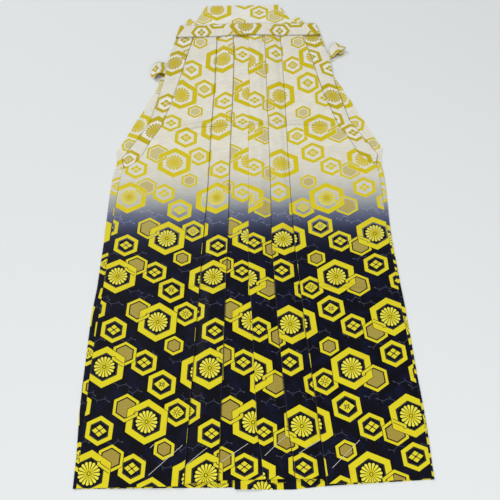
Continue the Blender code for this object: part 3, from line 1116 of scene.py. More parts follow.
        halves = []
        for sign in (1, -1):
            normal = (1 / REPEAT_WIDE, sign / REPEAT_TALL, 0.0)
            side = make(Do.V_DOT, chart, normal, out="Value")
            whole = make(Do.WHOLE, side)
            halves.append(make(Do.MINUS, side, whole))
        right = make(Do.TIMES, make(Do.PLUS, *halves), REPEAT_WIDE / 2)
        up = make(Do.TIMES, make(Do.MINUS, *halves), REPEAT_TALL / 2)
        half_drop = make(JOIN, right, up, 0.0)

        sprigs = make(Do.TIMES, self._sprigs(make, chart), 2.0)
        threads = make(JOIN, 0.0, 0.0, sprigs)
        big = hexagon(Motif.BIG, 32.8, 10.0, line=1.0, where=half_drop)
        flower = hexagon(Motif.FLOWER, 20.8, 6.2, line=1.0)
        second = hexagon(Motif.SECOND_DIAMOND, 20.9, 6.3, line=1.0)
        diamond = hexagon(Motif.DIAMOND, 21.7, 6.6, line=1.0)
        lozenge = hexagon(Motif.LOZENGE, 22.8, 6.9, line=1.0)
        beside_big = hexagon(Motif.SHADED_BY_BIG, 20.8, 4.5, gap=2.1, fill=1.0)
        beside_second = hexagon(Motif.SHADED_BY_SECOND, 19.9, 4.3, gap=2.1, fill=1.0)
        small = hexagon(Motif.SMALL, 15.9, 4.6, gap=1.9, fill=1.0)
        layers = [
            (flower, self.petals), (second, self.four_diamonds), (diamond, self.four_diamonds),
            (lozenge, self.diamond_flower), (beside_big, None), (beside_second, None), (small, None),
            (big, self.chrysanthemum),
        ]
        for (local, inside, own), motif in layers:
            if motif is not None:
                own = with_motif(local, own, motif)
            threads = over(threads, own, inside)
        # Bare outlines round the strips where a shaded hexagon is woven over its neighbour
        margin_big = hexagon(Motif.SHADED_BY_BIG, 21.9, 6.7)
        margin_second = hexagon(Motif.SHADED_BY_SECOND, 21.0, 6.5)
        strips, margins = [], []
        for inner, outer, side, top in (
            (beside_big, margin_big, 1.0, -5.5), (beside_second, margin_second, -1.0, -6.0),
        ):
            strips.append(self._sector(make, inner[0], inner[2], side, top))
            margins.append(self._sector(make, outer[0], outer[2], side, top + 1.0))
        strip = make(Do.MOST, *strips)
        margin = make(Do.MOST, *margins)
        threads = over(threads, (-1.0, 0.0, 1.4), margin)
        threads = over(threads, (1.0, 0.0, 0.0), strip)
        shade = make(Do.UNDER, make(SPLIT, threads), -0.5)
        threads = make(Do.V_MOST, threads, (0.0, 0.0, 0.0))
        return self._close(make, leave, Threads=threads, Shade=shade)


@dataclass(frozen=True)
class Brocade:
    """Silk-like satin brocade with gold weft: a smooth satin ground under matt, slightly raised gold.

    Attributes:
        name: the material's name.
        ground: (height, hex) rows of the satin ground, dyed in a fade from off-white to navy.
        inner_ground: (height, hex) rows of the ground inside a hexagon, whose fade is steeper.
        inner_line: (height, hex) rows of the thin line inside a frame.
        grey: (height, hex) rows of the sprigs' fine grey weft.
        gold: (height, hex) rows of the gold weft.
        shaded: (height, hex) rows of the mixed weft that fills some hexagons.
        groove: (height, hex) rows of the grooves in a motif.
        petals: (height, hex) rows of the paler gold of the flowers.
        ground_roughness: the satin's.
        gold_roughness: the gold weft's.
        gloss: the shader's specular level.
        thread_pitch: millimetres from one drawn rib of the weft to the next, for 0.2 in the real cloth.
        rib: how far a rib stands up, in metres.
    """

    name: str
    ground: tuple
    inner_ground: tuple
    inner_line: tuple
    grey: tuple
    gold: tuple
    shaded: tuple
    groove: tuple
    petals: tuple
    ground_roughness: float = 0.46
    gold_roughness: float = 0.40
    gloss: float = 0.09
    thread_pitch: float = 0.9
    rib: float = 0.00006

    def build(self, weave: Weave) -> Material:
        """The brocade's material.

        Args:
            weave: the shared node groups of the repeat.

        Returns:
            The material.
        """
        material, make = blank_material(self.name)
        height = self._height(make)
        cut = make("ShaderNodeUVMap", uv_map="cut")
        chart = make(Do.V_TIMES, cut, (1 / MM, 1 / MM, 0.0))
        repeat = make(GROUP, chart, node_tree=weave.repeat)
        gold = make(SPLIT, repeat)
        fill, line = gold.node.outputs[1], gold.node.outputs[2]
        shade = repeat.node.outputs["Shade"]
        speckle = {"Vector": chart, "Scale": 1.15, "Detail": 1.0}
        speckle = make(NOISE, named=speckle)
        blotch = {"Vector": chart, "Scale": 0.045, "Detail": 2.0, "Roughness": 0.6}
        blotch = make(NOISE, named=blotch)
        within = make(Do.PAST, line, 0.25)
        grey = make(Do.PAST, line, 0.75)
        # The ground: its dye, a steeper fade inside the frames, and soft clouds that are partly uneven tone
        # and partly painted sheen of the satin
        colour = self._by_height(make, height, self.ground)
        colour = self._lay(make, within, colour, self._by_height(make, height, self.inner_ground))
        streak = make(Do.V_TIMES, chart, (0.030, 0.30, 0.0))
        streak = make(NOISE, named={"Vector": streak, "Scale": 1.0, "Detail": 2.0})
        streak = make(Do.PLUS, streak, blotch)
        cloud = make(RANGE, streak, 0.7, 1.3, 0.93, 1.06)
        colour = make(Do.V_SCALE, colour, named={"Scale": cloud})
        navy = make(RANGE, blotch, 0.46, 0.68, 0.0, 0.50)
        dark = make(RANGE, height, 0.36, 0.44, 1.0, 0.0)
        navy = make(Do.TIMES, navy, dark)
        colour = self._lay(make, navy, colour, linear("#14183A"))
        # Thin lines inside the frames, and the grey sprigs
        sprig = make(Do.PAST, line, 1.5)
        inner = self._by_height(make, height, self.inner_line)
        thin = self._lay(make, sprig, inner, self._by_height(make, height, self.grey))
        colour = self._lay(make, grey, colour, thin)
        # The mixed weft of the shaded hexagons, and the grooves of the motifs
        mixed = self._by_height(make, height, self.shaded)
        grain = make(RANGE, speckle, 0.35, 0.65, 0.74, 1.22)
        mixed = make(Do.V_SCALE, mixed, named={"Scale": grain})
        colour = self._lay(make, fill, colour, mixed)
        pale = make(Do.MINUS, line, 0.5, use_clamp=True)
        groove = self._lay(make, pale, self._by_height(make, height, self.groove), colour)
        colour = self._lay(make, shade, colour, groove)
        # Gold weft over all of them
        bright = self._by_height(make, height, self.gold)
        tint = make(RANGE, blotch, 0.54, 0.76, 0.0, 0.30)
        bright = self._lay(make, tint, bright, linear("#DDA21E"))
        sparkle = make(RANGE, speckle, 0.3, 0.7, 0.90, 1.08)
        bright = make(Do.V_SCALE, bright, named={"Scale": sparkle})
        bright = self._lay(make, pale, bright, self._by_height(make, height, self.petals))
        colour = self._lay(make, gold, colour, bright)
        colour = self._paint_shade_and_highlight(make, height, colour)
        rough = (self.ground_roughness, self.gold_roughness)
        rough = make(RANGE, gold, 0.0, 1.0, *rough)
        surface = {"Base Color": colour, "Roughness": rough, "Normal": self._thread_bump(make, chart)}
        surface |= {"Specular IOR Level": self.gloss, "Sheen Weight": 0.015, "Sheen Roughness": 0.4}
        shader = make("ShaderNodeBsdfPrincipled", named=surface)
        make("ShaderNodeOutputMaterial", shader)
        return material

    @staticmethod
    def _height(make: Nodes) -> Socket:
        """The height in metres along the garment from its hem.

        Args:
            make: the tree's builder.

        Returns:
            The height.
        """
        place = make("ShaderNodeTexCoord", out="Object")
        along = make(SPLIT, place).node.outputs[1]
        return make(Do.PLUS, along, MIDDLE_HEIGHT)

    @staticmethod
    def _by_height(make: Nodes, height: Socket, rows: Sequence) -> Socket:
        """A colour that changes with height.

        Args:
            make: the tree's builder.
            height: the height from the hem.
            rows: (height, hex) rows.

        Returns:
            The colour.
        """
        ramp = make("ShaderNodeValToRGB", height)
        steps = ramp.node.color_ramp.elements
        while len(steps) < len(rows):
            steps.new(0.5)
        for step, (place, hex_value) in zip(steps, rows):
            step.position = place
            step.color = linear(hex_value)
        return ramp

    @staticmethod
    def _lay(make: Nodes, mask: Socket, below: Socket, above: Socket | tuple) -> Socket:
        """Lays one colour over another by a mask."""
        return make(MIX, mask, named={6: below, 7: above}, out=2, data_type="RGBA")

    def _paint_shade_and_highlight(self, make: Nodes, height: Socket, colour: Socket) -> Socket:
        """Paints shade beside each fold and in hollows, and a highlight on pressed edges of the dark cloth.

        Args:
            make: the tree's builder.
            height: the height from the hem.
            colour: the cloth's colour before its painted shade and highlight.

        Returns:
            The colour with the painted shade and highlight.
        """
        # Painted shade: a brown-black shadow laid in where the crevice attribute is set
        crevice = make("ShaderNodeAttribute", attribute_name="crevice", out="Fac")
        deep = make(RANGE, height, 0.45, 0.55, 0.72, 0.52)
        crevice = make(Do.TIMES, crevice, deep)
        shadow = make(Do.V_TIMES, colour, (0.20, 0.18, 0.14))
        colour = self._lay(make, crevice, colour, shadow)
        # Painted highlight: a grey-lavender light laid on the pressed fold edges of the dark cloth
        pressed = make("ShaderNodeAttribute", attribute_name="pressed", out="Fac")
        dark = make(RANGE, height, 0.42, 0.52, 0.30, 0.0)
        pressed = make(Do.TIMES, pressed, dark)
        return self._lay(make, pressed, colour, linear("#8C8CA0"))

    def _thread_bump(self, make: Nodes, chart: Socket) -> Socket:
        """The weft's fine ribs, drawn coarser than the real 0.2 mm so that they show.

        Args:
            make: the tree's builder.
            chart: the place on the cloth.

        Returns:
            The bumped normal.
        """
        pitch = math.tau / self.thread_pitch
        across = make(SPLIT, chart)
        along = across.node.outputs[1]
        ribs = make(Do.WAVE, make(Do.TIMES, along, pitch))
        bump = {"Strength": 0.25, "Distance": self.rib, "Height": ribs}
        return make("ShaderNodeBump", named=bump)


# Dip-dyed silk satin with gold weft. The eye gets a soft sheen with no mirror, a ground that
# turns from off-white to navy down the legs, and a gold that is brighter where the ground is dark.
DYED = Brocade(
    name="dyed_silk_brocade",
    ground=fade(
        0, "#090911", 300, "#0A0A13", 404, "#11121E", 435, "#23263A", 450, "#373B50", 467, "#525974",
        485, "#6E7386", 500, "#92969C", 534, "#C0BFB5", 568, "#D8D4C6", 640, "#E4E0CF", 797, "#E5E1D1",
        927, "#E3DFD2",
    ),
    inner_ground=fade(
        0, "#07070E", 435, "#0C0C12", 452, "#26272D", 466, "#5C5F68", 480, "#8F9299", 500, "#B4B6B8",
        525, "#CBCAC4", 568, "#D9D6CB", 640, "#E2DFD2", 927, "#E5E7E3",
    ),
    inner_line=fade(
        0, "#2E2F2C", 400, "#3A3B40", 430, "#5A5E6C", 470, "#8E93A2", 500, "#C4C4BC", 560, "#DCDACB",
        900, "#DEDCCE",
    ),
    grey=fade(
        0, "#44465A", 430, "#4E5165", 470, "#8E93A2", 500, "#A9ACB8", 560, "#CFD0D0", 900, "#D4D4CE",
    ),
    gold=fade(0, "#E1D424", 420, "#E0D228", 520, "#D9C826", 700, "#D2BF1A", 950, "#CEBA1C"),
    shaded=fade(0, "#A4903E", 430, "#AC9C4C", 500, "#BAA964", 600, "#CDC088", 950, "#D2C68E"),
    groove=fade(0, "#1C1A08", 430, "#302C0C", 485, "#7C7424", 560, "#D2BE48", 950, "#D0BB44"),
    petals=fade(0, "#EDE346", 430, "#EBE04E", 520, "#DFCF38", 600, "#D2BC0E", 950, "#CDB60C"),
)

# The same cloth from the undyed end of the bolt, for the band, board, ties and slit strips. The
# eye gets cream and a quieter gold, a little darker on the band and brightest on the board.
PALE = Brocade(
    name="pale_silk_brocade",
    ground=fade(0, "#DEDACA", 640, "#E2DFD0", 930, "#E4E0D2", 968, "#E6E1D2", 982, "#ECEBE0"),
    inner_ground=fade(0, "#E8E6DC", 927, "#ECEAE0"),
    inner_line=fade(0, "#DEDCCE", 1000, "#DEDCCE"),
    grey=fade(0, "#D4D4CE", 1000, "#D4D4CE"),
    gold=fade(0, "#C8B512", 930, "#BDAA16", 968, "#BDAA16", 982, "#D2BF1E"),
    shaded=fade(0, "#D6CC92", 1000, "#D6CC92"),
    groove=fade(0, "#D0BB44", 1000, "#D0BB44"),
    petals=fade(0, "#CAB40E", 930, "#B8A410", 968, "#B8A410", 982, "#CDB60C"),
)


@dataclass(frozen=True)
class CottonThread:
    """Soft white cotton basting thread: matt, faintly fuzzy, with a twist that only shows close up."""

    name: str
    colour: str
    roughness: float = 0.8

    def build(self) -> Material:
        """The thread's material.

        Returns:
            The material.
        """
        material, make = blank_material(self.name)
        place = make("ShaderNodeTexCoord", out="Object")
        twist = {"Vector": place, "Scale": 900.0, "Detail": 1.0}
        noise = make(NOISE, named=twist)
        shade = make(RANGE, noise, 0.3, 0.7, 0.82, 1.0)
        colour = make(Do.V_SCALE, linear(self.colour)[:3], named={"Scale": shade})
        surface = {"Base Color": colour, "Roughness": self.roughness, "Sheen Weight": 0.3}
        shader = make("ShaderNodeBsdfPrincipled", named=surface)
        make("ShaderNodeOutputMaterial", shader)
        return material


# Loose spun cotton: bright matt white, so that it reads as temporary thread on the dark hem
BASTING = CottonThread("white_basting_cotton", "#F4F2EA")
# Finer cotton in the cloth's cream, so that the stitches only just show
SEWING = CottonThread("cream_sewing_cotton", "#CFCBB8")


@dataclass
class Piece:
    """The names that every piece of cloth is made with."""

    node: str
    slot: str

    @property
    def name(self) -> str:
        """The piece's name in the scene."""
        return self.node + "_cloth"

    def dress(
        self, item: Item, material: Material, flat: tuple, area: float, held: str, rests_on: Sequence,
    ) -> None:
        """Gives a piece its material, attaches it to the root, hides its part and logs its faces.

        Args:
            item: the piece's object.
            material: its material.
            flat: the width and length that it was cut to, not used.
            area: the cut's flat area, not used.
            held: how the cloth is held, not used.
            rests_on: what it lies on, not used.
        """
        item.data.materials.clear()
        item.data.materials.append(material)
        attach(item, "root")
        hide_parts(self.node)
        log.info("%s: %d faces", item.name, len(item.data.polygons))

    def dress_laid(
        self, made: tuple, material: Material, length: float, held: str, rests_on: Sequence,
    ) -> Item:
        """Dresses what lay_cloth gave.

        Args:
            made: the object, its points and the unfolded width of each row.
            material: its material.
            length: the length that it was cut to.
            held: how the cloth is held.
            rests_on: what it lies on.

        Returns:
            The object.
        """
        item, points, widths = made
        flat = (float(widths.max()), length)
        self.dress(item, material, flat, one_side_area(points), held, rests_on)
        return item


def hand(side: int) -> str:
    """The word for a side of the garment."""
    return "left" if side < 0 else "right"


def lay_cloth(
    piece: str, section: Section, hem: Sequence | None, level: float, lift: Callable | None,
    grains: Sequence, skip: np.ndarray | None = None,
) -> tuple:
    """Builds a piece of cloth from its section.

    Args:
        piece: the piece's name.
        section: its columns.
        hem: the hem's steps.
        level: the height of layer 0.
        lift: a function of place that gives the layers' common lift, or None.
        grains: the cloth's lay on each panel.
        skip: faces that are left out.

    Returns:
        The object, the grid of points and the unfolded width of each row.
    """
    (distance, layer, opened, crevice, edge), grain_of = section.arrays()
    heights = section.heights[:, None]
    x = section.side * distance
    z = level + layer * LAYER
    if lift is not None:
        z = z + lift(x, heights + 0.0 * x)
    # Painted shade on the hem side of each storage fold
    if lift is front_lift:
        crevice = np.maximum(crevice, storage_shade(x, heights + 0.0 * x))
    y = heights + (hem_step(hem, x, heights) if hem else 0.0) - MIDDLE_HEIGHT
    points = np.stack([x, y + 0.0 * x, z], axis=2)
    charts = [np.zeros((*x[:, :-1].shape, 2)) for _ in range(2)]
    for column in range(x.shape[1] - 1):
        grain = grains[grain_of[column + 1]]
        for end in range(2):
            at = section.side * opened[:, column + end]
            across, along = grain.chart(at, section.heights)
            charts[end][:, column, 0] = across
            charts[end][:, column, 1] = along
    mesh = grid_mesh(piece, points, charts, crevice, edge, skip)
    item = walled(piece, mesh, CLOTH)
    steps = np.diff(points, axis=1)
    return item, points, np.linalg.norm(steps, axis=2).sum(axis=1)


P0_GRAIN = Grain(
    ((0.0979, -0.1723), (0.5985, -0.1494)), Motif.BIG, 0.0982, 0.1670, -0.080,
    right=(0.8, 0.8, 0.8, 0.8, 0.9, 0.9, 0.9, 1.5, 1.0, 0.0, -1.0, -1.0, -0.4, -1.5, -4.3, -4.4, -4.4),
    up=(0.0, -0.5, 0.0, 1.2, 1.5, 2.6, -1.0, -2.0, 0.8, 0.0, 3.6, 3.9, 3.1, 8.6, 17.1, 22.9, 32.0),
)
P1_GRAIN = Grain(
    ((0.0165, -0.0749), (0.6920, -0.0621)), Motif.SECOND_BIG, 0.0170, 0.1682,
    right=(0.8, 0.4, 0.8, 0.6, -0.5, 0.8, -0.5, 0.0, 1.0, 0.0, 1.0, 2.0, 3.8, 3.4, 4.2, 3.3, 2.2),
    up=(-7.4, -7.7, -4.8, -1.2, -3.0, -1.5, -7.2, -8.0, -5.6, -8.0, -1.3, -2.6, -3.6, 1.0, 8.5, 12.7, 18.0),
)
P2_GRAIN = Grain(
    ((0.0, -0.0007), (0.6, -0.0007)), Motif.BIG, 0.0995, 0.1678,
    right=(0.8, 0.8, -0.8, 0.8, 0.0, -0.9, -0.9, -0.9, 1.0, 0.0, 2.0, 2.1, 2.1, 3.2, 3.2, 3.3, 1.1),
    up=(-6.7, -7.7, -4.8, -1.7, -0.9, 0.0, -2.0, -4.2, -2.5, -3.6, -0.2, 0.0, 0.5, 4.5, 11.4, 17.1, 22.5),
)
P3_GRAIN = Grain(
    ((0.10, 0.0010), (0.178, 0.0025), (0.346, -0.0040), (0.514, -0.0075), (0.685, -0.0050)),
    Motif.BIG, 0.1780, 0.1690, turned=True,
    right=(1.0, 0.8, -0.8, -1.7, -3.4, -3.5, -3.7, -4.7, 0.0, -1.0, 0.0, 1.0, 1.1, 1.1, 1.1, 2.2, 1.1),
    up=(-6.7, -6.2, -4.0, -1.7, -1.8, -0.5, -3.1, -4.2, -3.6, -6.0, -2.5, -5.2, -6.3, 0.3, 4.3, 9.7, 18.0),
)
P4_GRAIN = Grain(
    ((0.089, 0.0790), (0.260, 0.0680), (0.427, 0.0608), (0.596, 0.0614), (0.766, 0.0646)),
    Motif.SECOND_BIG, 0.0885, 0.1690, turned=True,
    right=(0.0, -2.4, -2.4, -3.8, -2.6, -2.7, -1.8, -1.9, 0.0, 0.0, 0.0, 0.0, 1.1, 1.1, 1.1, 0.0, -1.0),
    up=(-4.5, -3.9, -3.2, -0.5, 0.9, 0.0, -1.0, -4.2, -3.4, -3.6, 0.0, 0.0, -0.9, 4.5, 10.0, 15.0, 22.5),
)
P5_GRAIN = Grain(
    ((0.0143, 0.1799), (0.1825, 0.1648), (0.3482, 0.1511), (0.514, 0.1462), (0.6824, 0.1442)),
    Motif.BIG, 0.0143, 0.1671, 0.078, True,
    right=(0.0, 0.0, -0.8, -0.8, 0.9, 0.0, 0.9, 0.0, 0.0, -1.0, -1.0, 0.0, 1.1, 1.1, 1.1, 1.1, 1.1),
    up=(-3.7, -3.9, -2.4, -0.8, 0.0, 0.0, -2.0, -3.2, -3.4, -3.6, -1.3, -1.3, 3.1, 11.4, 20.0, 25.9, 31.0),
)


@dataclass
class PleatedFront(Piece):
    """One half of the pleated front, each pleat folded under to its depth.

    Attributes:
        side: -1 on the left, 1 on the right.
        folds: the pleats' fold lines from the outer one inward.
        grains: the cloth's lay on each panel from the outer one inward.
        crosses: whether the innermost panel runs on under the centre fold.
        outer_steps: columns across the outermost panel.
        panel_steps: columns across each further panel.
        fold_shade: (millimetres out from a fold, shade) rows of the panel under it.
    """

    side: int
    folds: tuple
    grains: tuple
    crosses: bool
    outer_steps: int = 26
    panel_steps: int = 14
    fold_shade: tuple = ((3.0, 1.0), (1.2, 1.0), (0.2, 1.0), (-0.5, 1.0), (-1.3, 0.75), (-2.1, 0.0))

    def build(self, material: Material) -> Item:
        """Lays the half and dresses it.

        Args:
            material: its brocade.

        Returns:
            The piece.
        """
        heights = row_heights(0.0, FRONT_TOP, (*CREASE_ROWS, SLIT_HEIGHT, 0.593, 0.600, 0.608))
        section = Section(self.side, heights)
        depth = PLEAT_DEPTH_AT_HEM + (PLEAT_DEPTH_AT_WAIST - PLEAT_DEPTH_AT_HEM) * heights / FRONT_TOP
        start = front_edge(heights, self.side)
        start_level = smooth_step(heights, *CLIMB)
        # A painted highlight along the front's outer edge
        section.put(start, start_level, edge=0.6)
        shares = [0.003, 0.01, 0.025, *np.linspace(0.05, 1.0, self.outer_steps)]
        for number, line in enumerate(self.folds):
            fold = self.side * line.at(heights)
            stack = fold + depth + TURN_RADIUS + PLEAT_CLEARANCE
            centre = fold + HALF_WALL + TURN_RADIUS
            section.panel(start, start_level, stack, STACK_LAYERS, shares, number)
            for share in (0.35, 0.7, 0.9):
                section.put(stack + (centre - stack) * share, STACK_LAYERS, grain=number)
            # Each fold's turn has a painted highlight on its crest
            opened = section.hairpin(centre, 1.5, False, centre, number)
            for share in (0.3, 0.65, 1.0):
                inner = centre + (fold + depth - centre) * share
                section.put(inner, 1.0, opened - (inner - centre), number)
            if number == len(self.folds) - 1 and not self.crosses:
                break
            section.hairpin(fold + depth, 0.5, True, fold + depth, number + 1, edge=0.0)
            # Painted shade on the panel beside the fold that lies over it
            for offset, shade in self.fold_shade:
                section.put(fold + offset * MM, 0.0, grain=number + 1, crevice=shade)
            start, start_level = fold - PLEAT_CLEARANCE, 0.0
            section.put(start, start_level, grain=number + 1)
            shares = np.linspace(0.06, 1.0, self.panel_steps)
        if self.crosses:
            end = self.side * CENTRE_FOLD.at(heights) - depth
            for share in np.linspace(0.1, 1.0, self.panel_steps):
                section.put(start + (end - start) * share, 0.0, grain=len(self.folds))
        made = lay_cloth(self.name, section, FRONT_HEM, FRONT_LEVEL, front_lift, self.grains)
        word = hand(self.side)
        rests_on = [f"back_{word}", f"slit_strip_{word}", f"gusset_{word}"]
        return self.dress_laid(made, material, FRONT_TOP, "folded", rests_on)


@dataclass
class Back(Piece):
    """One half of the back: flat on the surface, folded over at its side below the slit."""

    side: int
    grains: tuple
    fold_from_centre: float = 0.003
    pleat_at_hem: float = 0.030
    pleat_at_waist: float = 0.018
    ramp: float = 0.010

    def build(self, material: Material) -> Item:
        """Lays the half and dresses it.

        Args:
            material: its brocade.

        Returns:
            The piece.
        """
        extra = (SLIT_HEIGHT, 0.590, 0.600, 0.612, 0.620, 0.628, 0.635, 0.655)
        heights = row_heights(0.0, BACK_TOP, extra)
        section = Section(self.side, heights)
        outer = back_edge(heights, self.side)
        folded = heights <= SLIT_HEIGHT + 1e-6
        turn_at = np.where(folded, outer - HALF_WALL - TURN_RADIUS, outer)
        flap = front_edge(heights, self.side) + SEAM_GAP
        # Painted shade on the flap along the front's edge
        for share in (0.0, 0.08, 0.4, 0.8):
            shade = 0.8 if share == 0.0 else 0.0
            place = flap + (turn_at - flap) * share
            section.put(place, 1.0, 2 * turn_at - place + math.pi * TURN_RADIUS, 0, shade)
        # The turn at the back's side, with a painted highlight along its crest
        angles = np.radians(np.linspace(90, -90, 9))
        for angle in angles:
            arc = TURN_RADIUS * (math.pi / 2 + angle)
            bulge = np.where(folded, TURN_RADIUS * math.cos(angle), 0.0)
            level = 0.5 + 0.5 * math.sin(angle)
            last = angle == angles[-1]
            at = turn_at + (0.0 if last else bulge)
            section.put(at, level, turn_at + arc, 0, 0.0, 0.6 * math.cos(angle) ** 2)
        flap_columns = len(section.columns) - 1
        depth = self.pleat_at_hem + (self.pleat_at_waist - self.pleat_at_hem) * heights / FRONT_TOP
        strip = np.where(folded, front_edge(heights, self.side) - 0.012, read(STRIP_EDGE, heights))
        strip = np.minimum(strip, turn_at - 0.0075)
        inside = turn_at - 0.0004
        section.put(inside, 0.0, grain=1)
        for share in np.linspace(0.1, 0.9, 9):
            section.put(inside + (strip + 0.0040 - inside) * share, 0.0, grain=1)
        # Painted shade beside the slit strip's edge, above the slit
        open_side = (~folded).astype(float)
        for offset, shade in ((3.6, 0.0), (2.4, 0.7), (1.2, 1.0), (0.3, 1.0), (-1.5, 1.0)):
            section.put(strip + offset * MM, 0.0, grain=1, crevice=shade * open_side)
        start = strip - 0.0025
        if self.side < 0:
            near = -self.fold_from_centre + HALF_WALL + TURN_RADIUS
            section.panel(start, 0.0, near, 0.0, np.linspace(0.06, 0.98, 16), 1)
            section.hairpin(near, 0.5, False, near, 1, 0.0, rising=True)
            section.put(depth, 1.0, -depth, 1)
        else:
            near = self.fold_from_centre + SEAM_GAP
            section.panel(start, 0.0, near + self.ramp, 0.0, np.linspace(0.06, 1.0, 16), 1)
            section.panel(near + self.ramp, 0.0, near, STACK_LAYERS, np.linspace(0.125, 1.0, 8), 1)
            section.put(-depth, STACK_LAYERS, grain=1)
        count = len(section.columns)
        skip = np.zeros((len(heights) - 1, count - 1), dtype=bool)
        skip[heights[:-1] >= SLIT_HEIGHT - 1e-6, :flap_columns] = True
        hem = BACK_LEFT_HEM if self.side < 0 else BACK_RIGHT_HEM
        made = lay_cloth(self.name, section, hem, BACK_LEVEL, wing_lift, self.grains, skip)
        return self.dress_laid(made, material, BACK_TOP, "folded", [])


@dataclass
class Gusset(Piece):
    """A crotch gusset, a strip folded lengthwise inside the leg."""

    side: int
    inner: float
    grain: Grain
    lowest: float = 0.004
    width_at_hem: float = 0.036
    width_at_crotch: float = 0.012

    def build(self, material: Material) -> Item:
        """Lays the strip and dresses it.

        Args:
            material: its brocade.

        Returns:
            The piece.
        """
        heights = row_heights(self.lowest, CROTCH_HEIGHT)
        section = Section(self.side, heights)
        share = heights / CROTCH_HEIGHT
        width = self.width_at_hem + (self.width_at_crotch - self.width_at_hem) * share
        for part in (1.0, 0.6, 0.3, 0.1):
            section.put(self.inner + width * part, 2.0)
        opened = section.hairpin(self.inner, 1.5, False, self.inner)
        for part in (0.1, 0.3, 0.6, 1.0):
            section.put(self.inner + width * part, 1.0, opened - width * part)
        made = lay_cloth(self.name, section, None, BACK_LEVEL, None, (self.grain,))
        length = CROTCH_HEIGHT - self.lowest
        return self.dress_laid(made, material, length, "folded", [f"back_{hand(self.side)}"])


@dataclass
class SlitStrip(Piece):
    """The folded strip that edges the side slit, under the front panel's edge."""

    side: int
    grain: Grain
    slant: float = 1.05

    def build(self, material: Material) -> Item:
        """Lays the strip and dresses it.

        Args:
            material: its brocade.

        Returns:
            The piece.
        """
        heights = row_heights(0.589, 0.947, (0.593, 0.600, 0.607, 0.614, 0.620, 0.637, 0.657, 0.690))
        section = Section(self.side, heights)
        front = front_edge(heights, self.side)
        outer = read(STRIP_EDGE, heights)
        # A painted highlight along the strip's outer edge
        section.put(outer, 0.0, edge=0.5)
        reach = front + 0.0040
        for share in (0.03, 0.1, *np.linspace(0.2, 0.9, 9)):
            section.put(outer + (reach - outer) * share, 0.0)
        # Painted shade where the front's edge lies over the strip
        for offset, shade in ((3.4, 0.0), (2.3, 0.7), (1.2, 1.0), (0.2, 1.0), (-2.0, 1.0)):
            section.put(front + offset * MM, 0.0, crevice=shade)
        for share in (0.4, 1.0):
            section.put(front - 0.002 - (STRIP_HIDDEN - 0.002) * share, 0.0)
        made = lay_cloth(self.name, section, None, FRONT_LEVEL, front_lift, (self.grain,))
        length = float(heights[-1] - heights[0]) * self.slant
        return self.dress_laid(made, material, length, "laid", [f"back_{hand(self.side)}"])


@dataclass
class Band(Piece):
    """The front band, which runs over the pleats and turns under at both ends."""

    wall: float = 0.0020
    half_top: float = 0.154
    half_bottom: float = 0.162
    tuck: float = 0.015
    lay: Lay = Lay(Motif.BIG, -0.0050, 0.9640, 90.0)
    drawn_out: float = 1.045
    rows: int = 15

    def points(self) -> np.ndarray:
        """The band's middle surface, from its bottom edge to its top edge.

        Returns:
            Rows by columns by three.
        """
        side_level = FRONT_LEVEL + 2 * LAYER + HALF_WALL + SEAM_GAP + self.wall / 2
        low_level = self.wall / 2
        radius = (side_level - low_level) / 2
        rows = []
        for share in np.linspace(0.0, 1.0, self.rows):
            half = self.half_bottom + (self.half_top - self.half_bottom) * share
            turn_at = half - self.wall / 2 - radius
            right = [(turn_at - self.tuck, low_level), (turn_at - self.tuck / 2, low_level)]
            for angle in np.radians(np.linspace(-90, 90, 13)):
                level = low_level + radius * (1 + math.sin(angle))
                right.append((turn_at + radius * math.cos(angle), level))
            for x in (*np.linspace(turn_at - 0.008, 0.080, 12), *np.linspace(0.075, 0.0, 26)):
                rise = STACK_LAYERS * LAYER * float(plateau(x, CENTRE_HIGH_HALF, CENTRE_FALL))
                puff = 0.00035 * (1 - (2 * share - 1) ** 4) * (0.7 + 0.3 * math.sin(61 * x + 1.0))
                right.append((x, side_level + rise + puff))
            left = [(-x, z) for x, z in reversed(right[:-1])]
            height = BAND_BOTTOM + (BAND_TOP - BAND_BOTTOM) * share
            rows.append([(x, height - MIDDLE_HEIGHT, z) for x, z in right + left])
        return np.array(rows)

    def build(self, material: Material) -> Item:
        """Builds the band and dresses it.

        Args:
            material: its brocade.

        Returns:
            The piece.
        """
        points = self.points()
        steps = np.linalg.norm(np.diff(points, axis=1), axis=2)
        walk = np.concatenate([np.zeros((len(points), 1)), np.cumsum(steps, axis=1)], axis=1)
        middle = walk[:, walk.shape[1] // 2][:, None]
        heights = points[:, :, 1] + MIDDLE_HEIGHT
        across, along = self.lay.chart((middle - walk) / self.drawn_out, heights)
        chart = np.stack([across, along], axis=2)
        zeros = np.zeros(points.shape[:2])
        # Painted shade along the band's bottom and top edges
        rim = zeros.copy()
        rim[0], rim[-1] = 0.8, 0.5
        charts = (chart[:, :-1], chart[:, 1:])
        item = walled(self.name, grid_mesh(self.name, points, charts, rim, zeros), self.wall * 0.94)
        flat = (BAND_TOP - BAND_BOTTOM, float(walk.max()))
        rests_on = ["front_left", "front_right"]
        self.dress(item, material, flat, one_side_area(points), "stretched", rests_on)
        return item


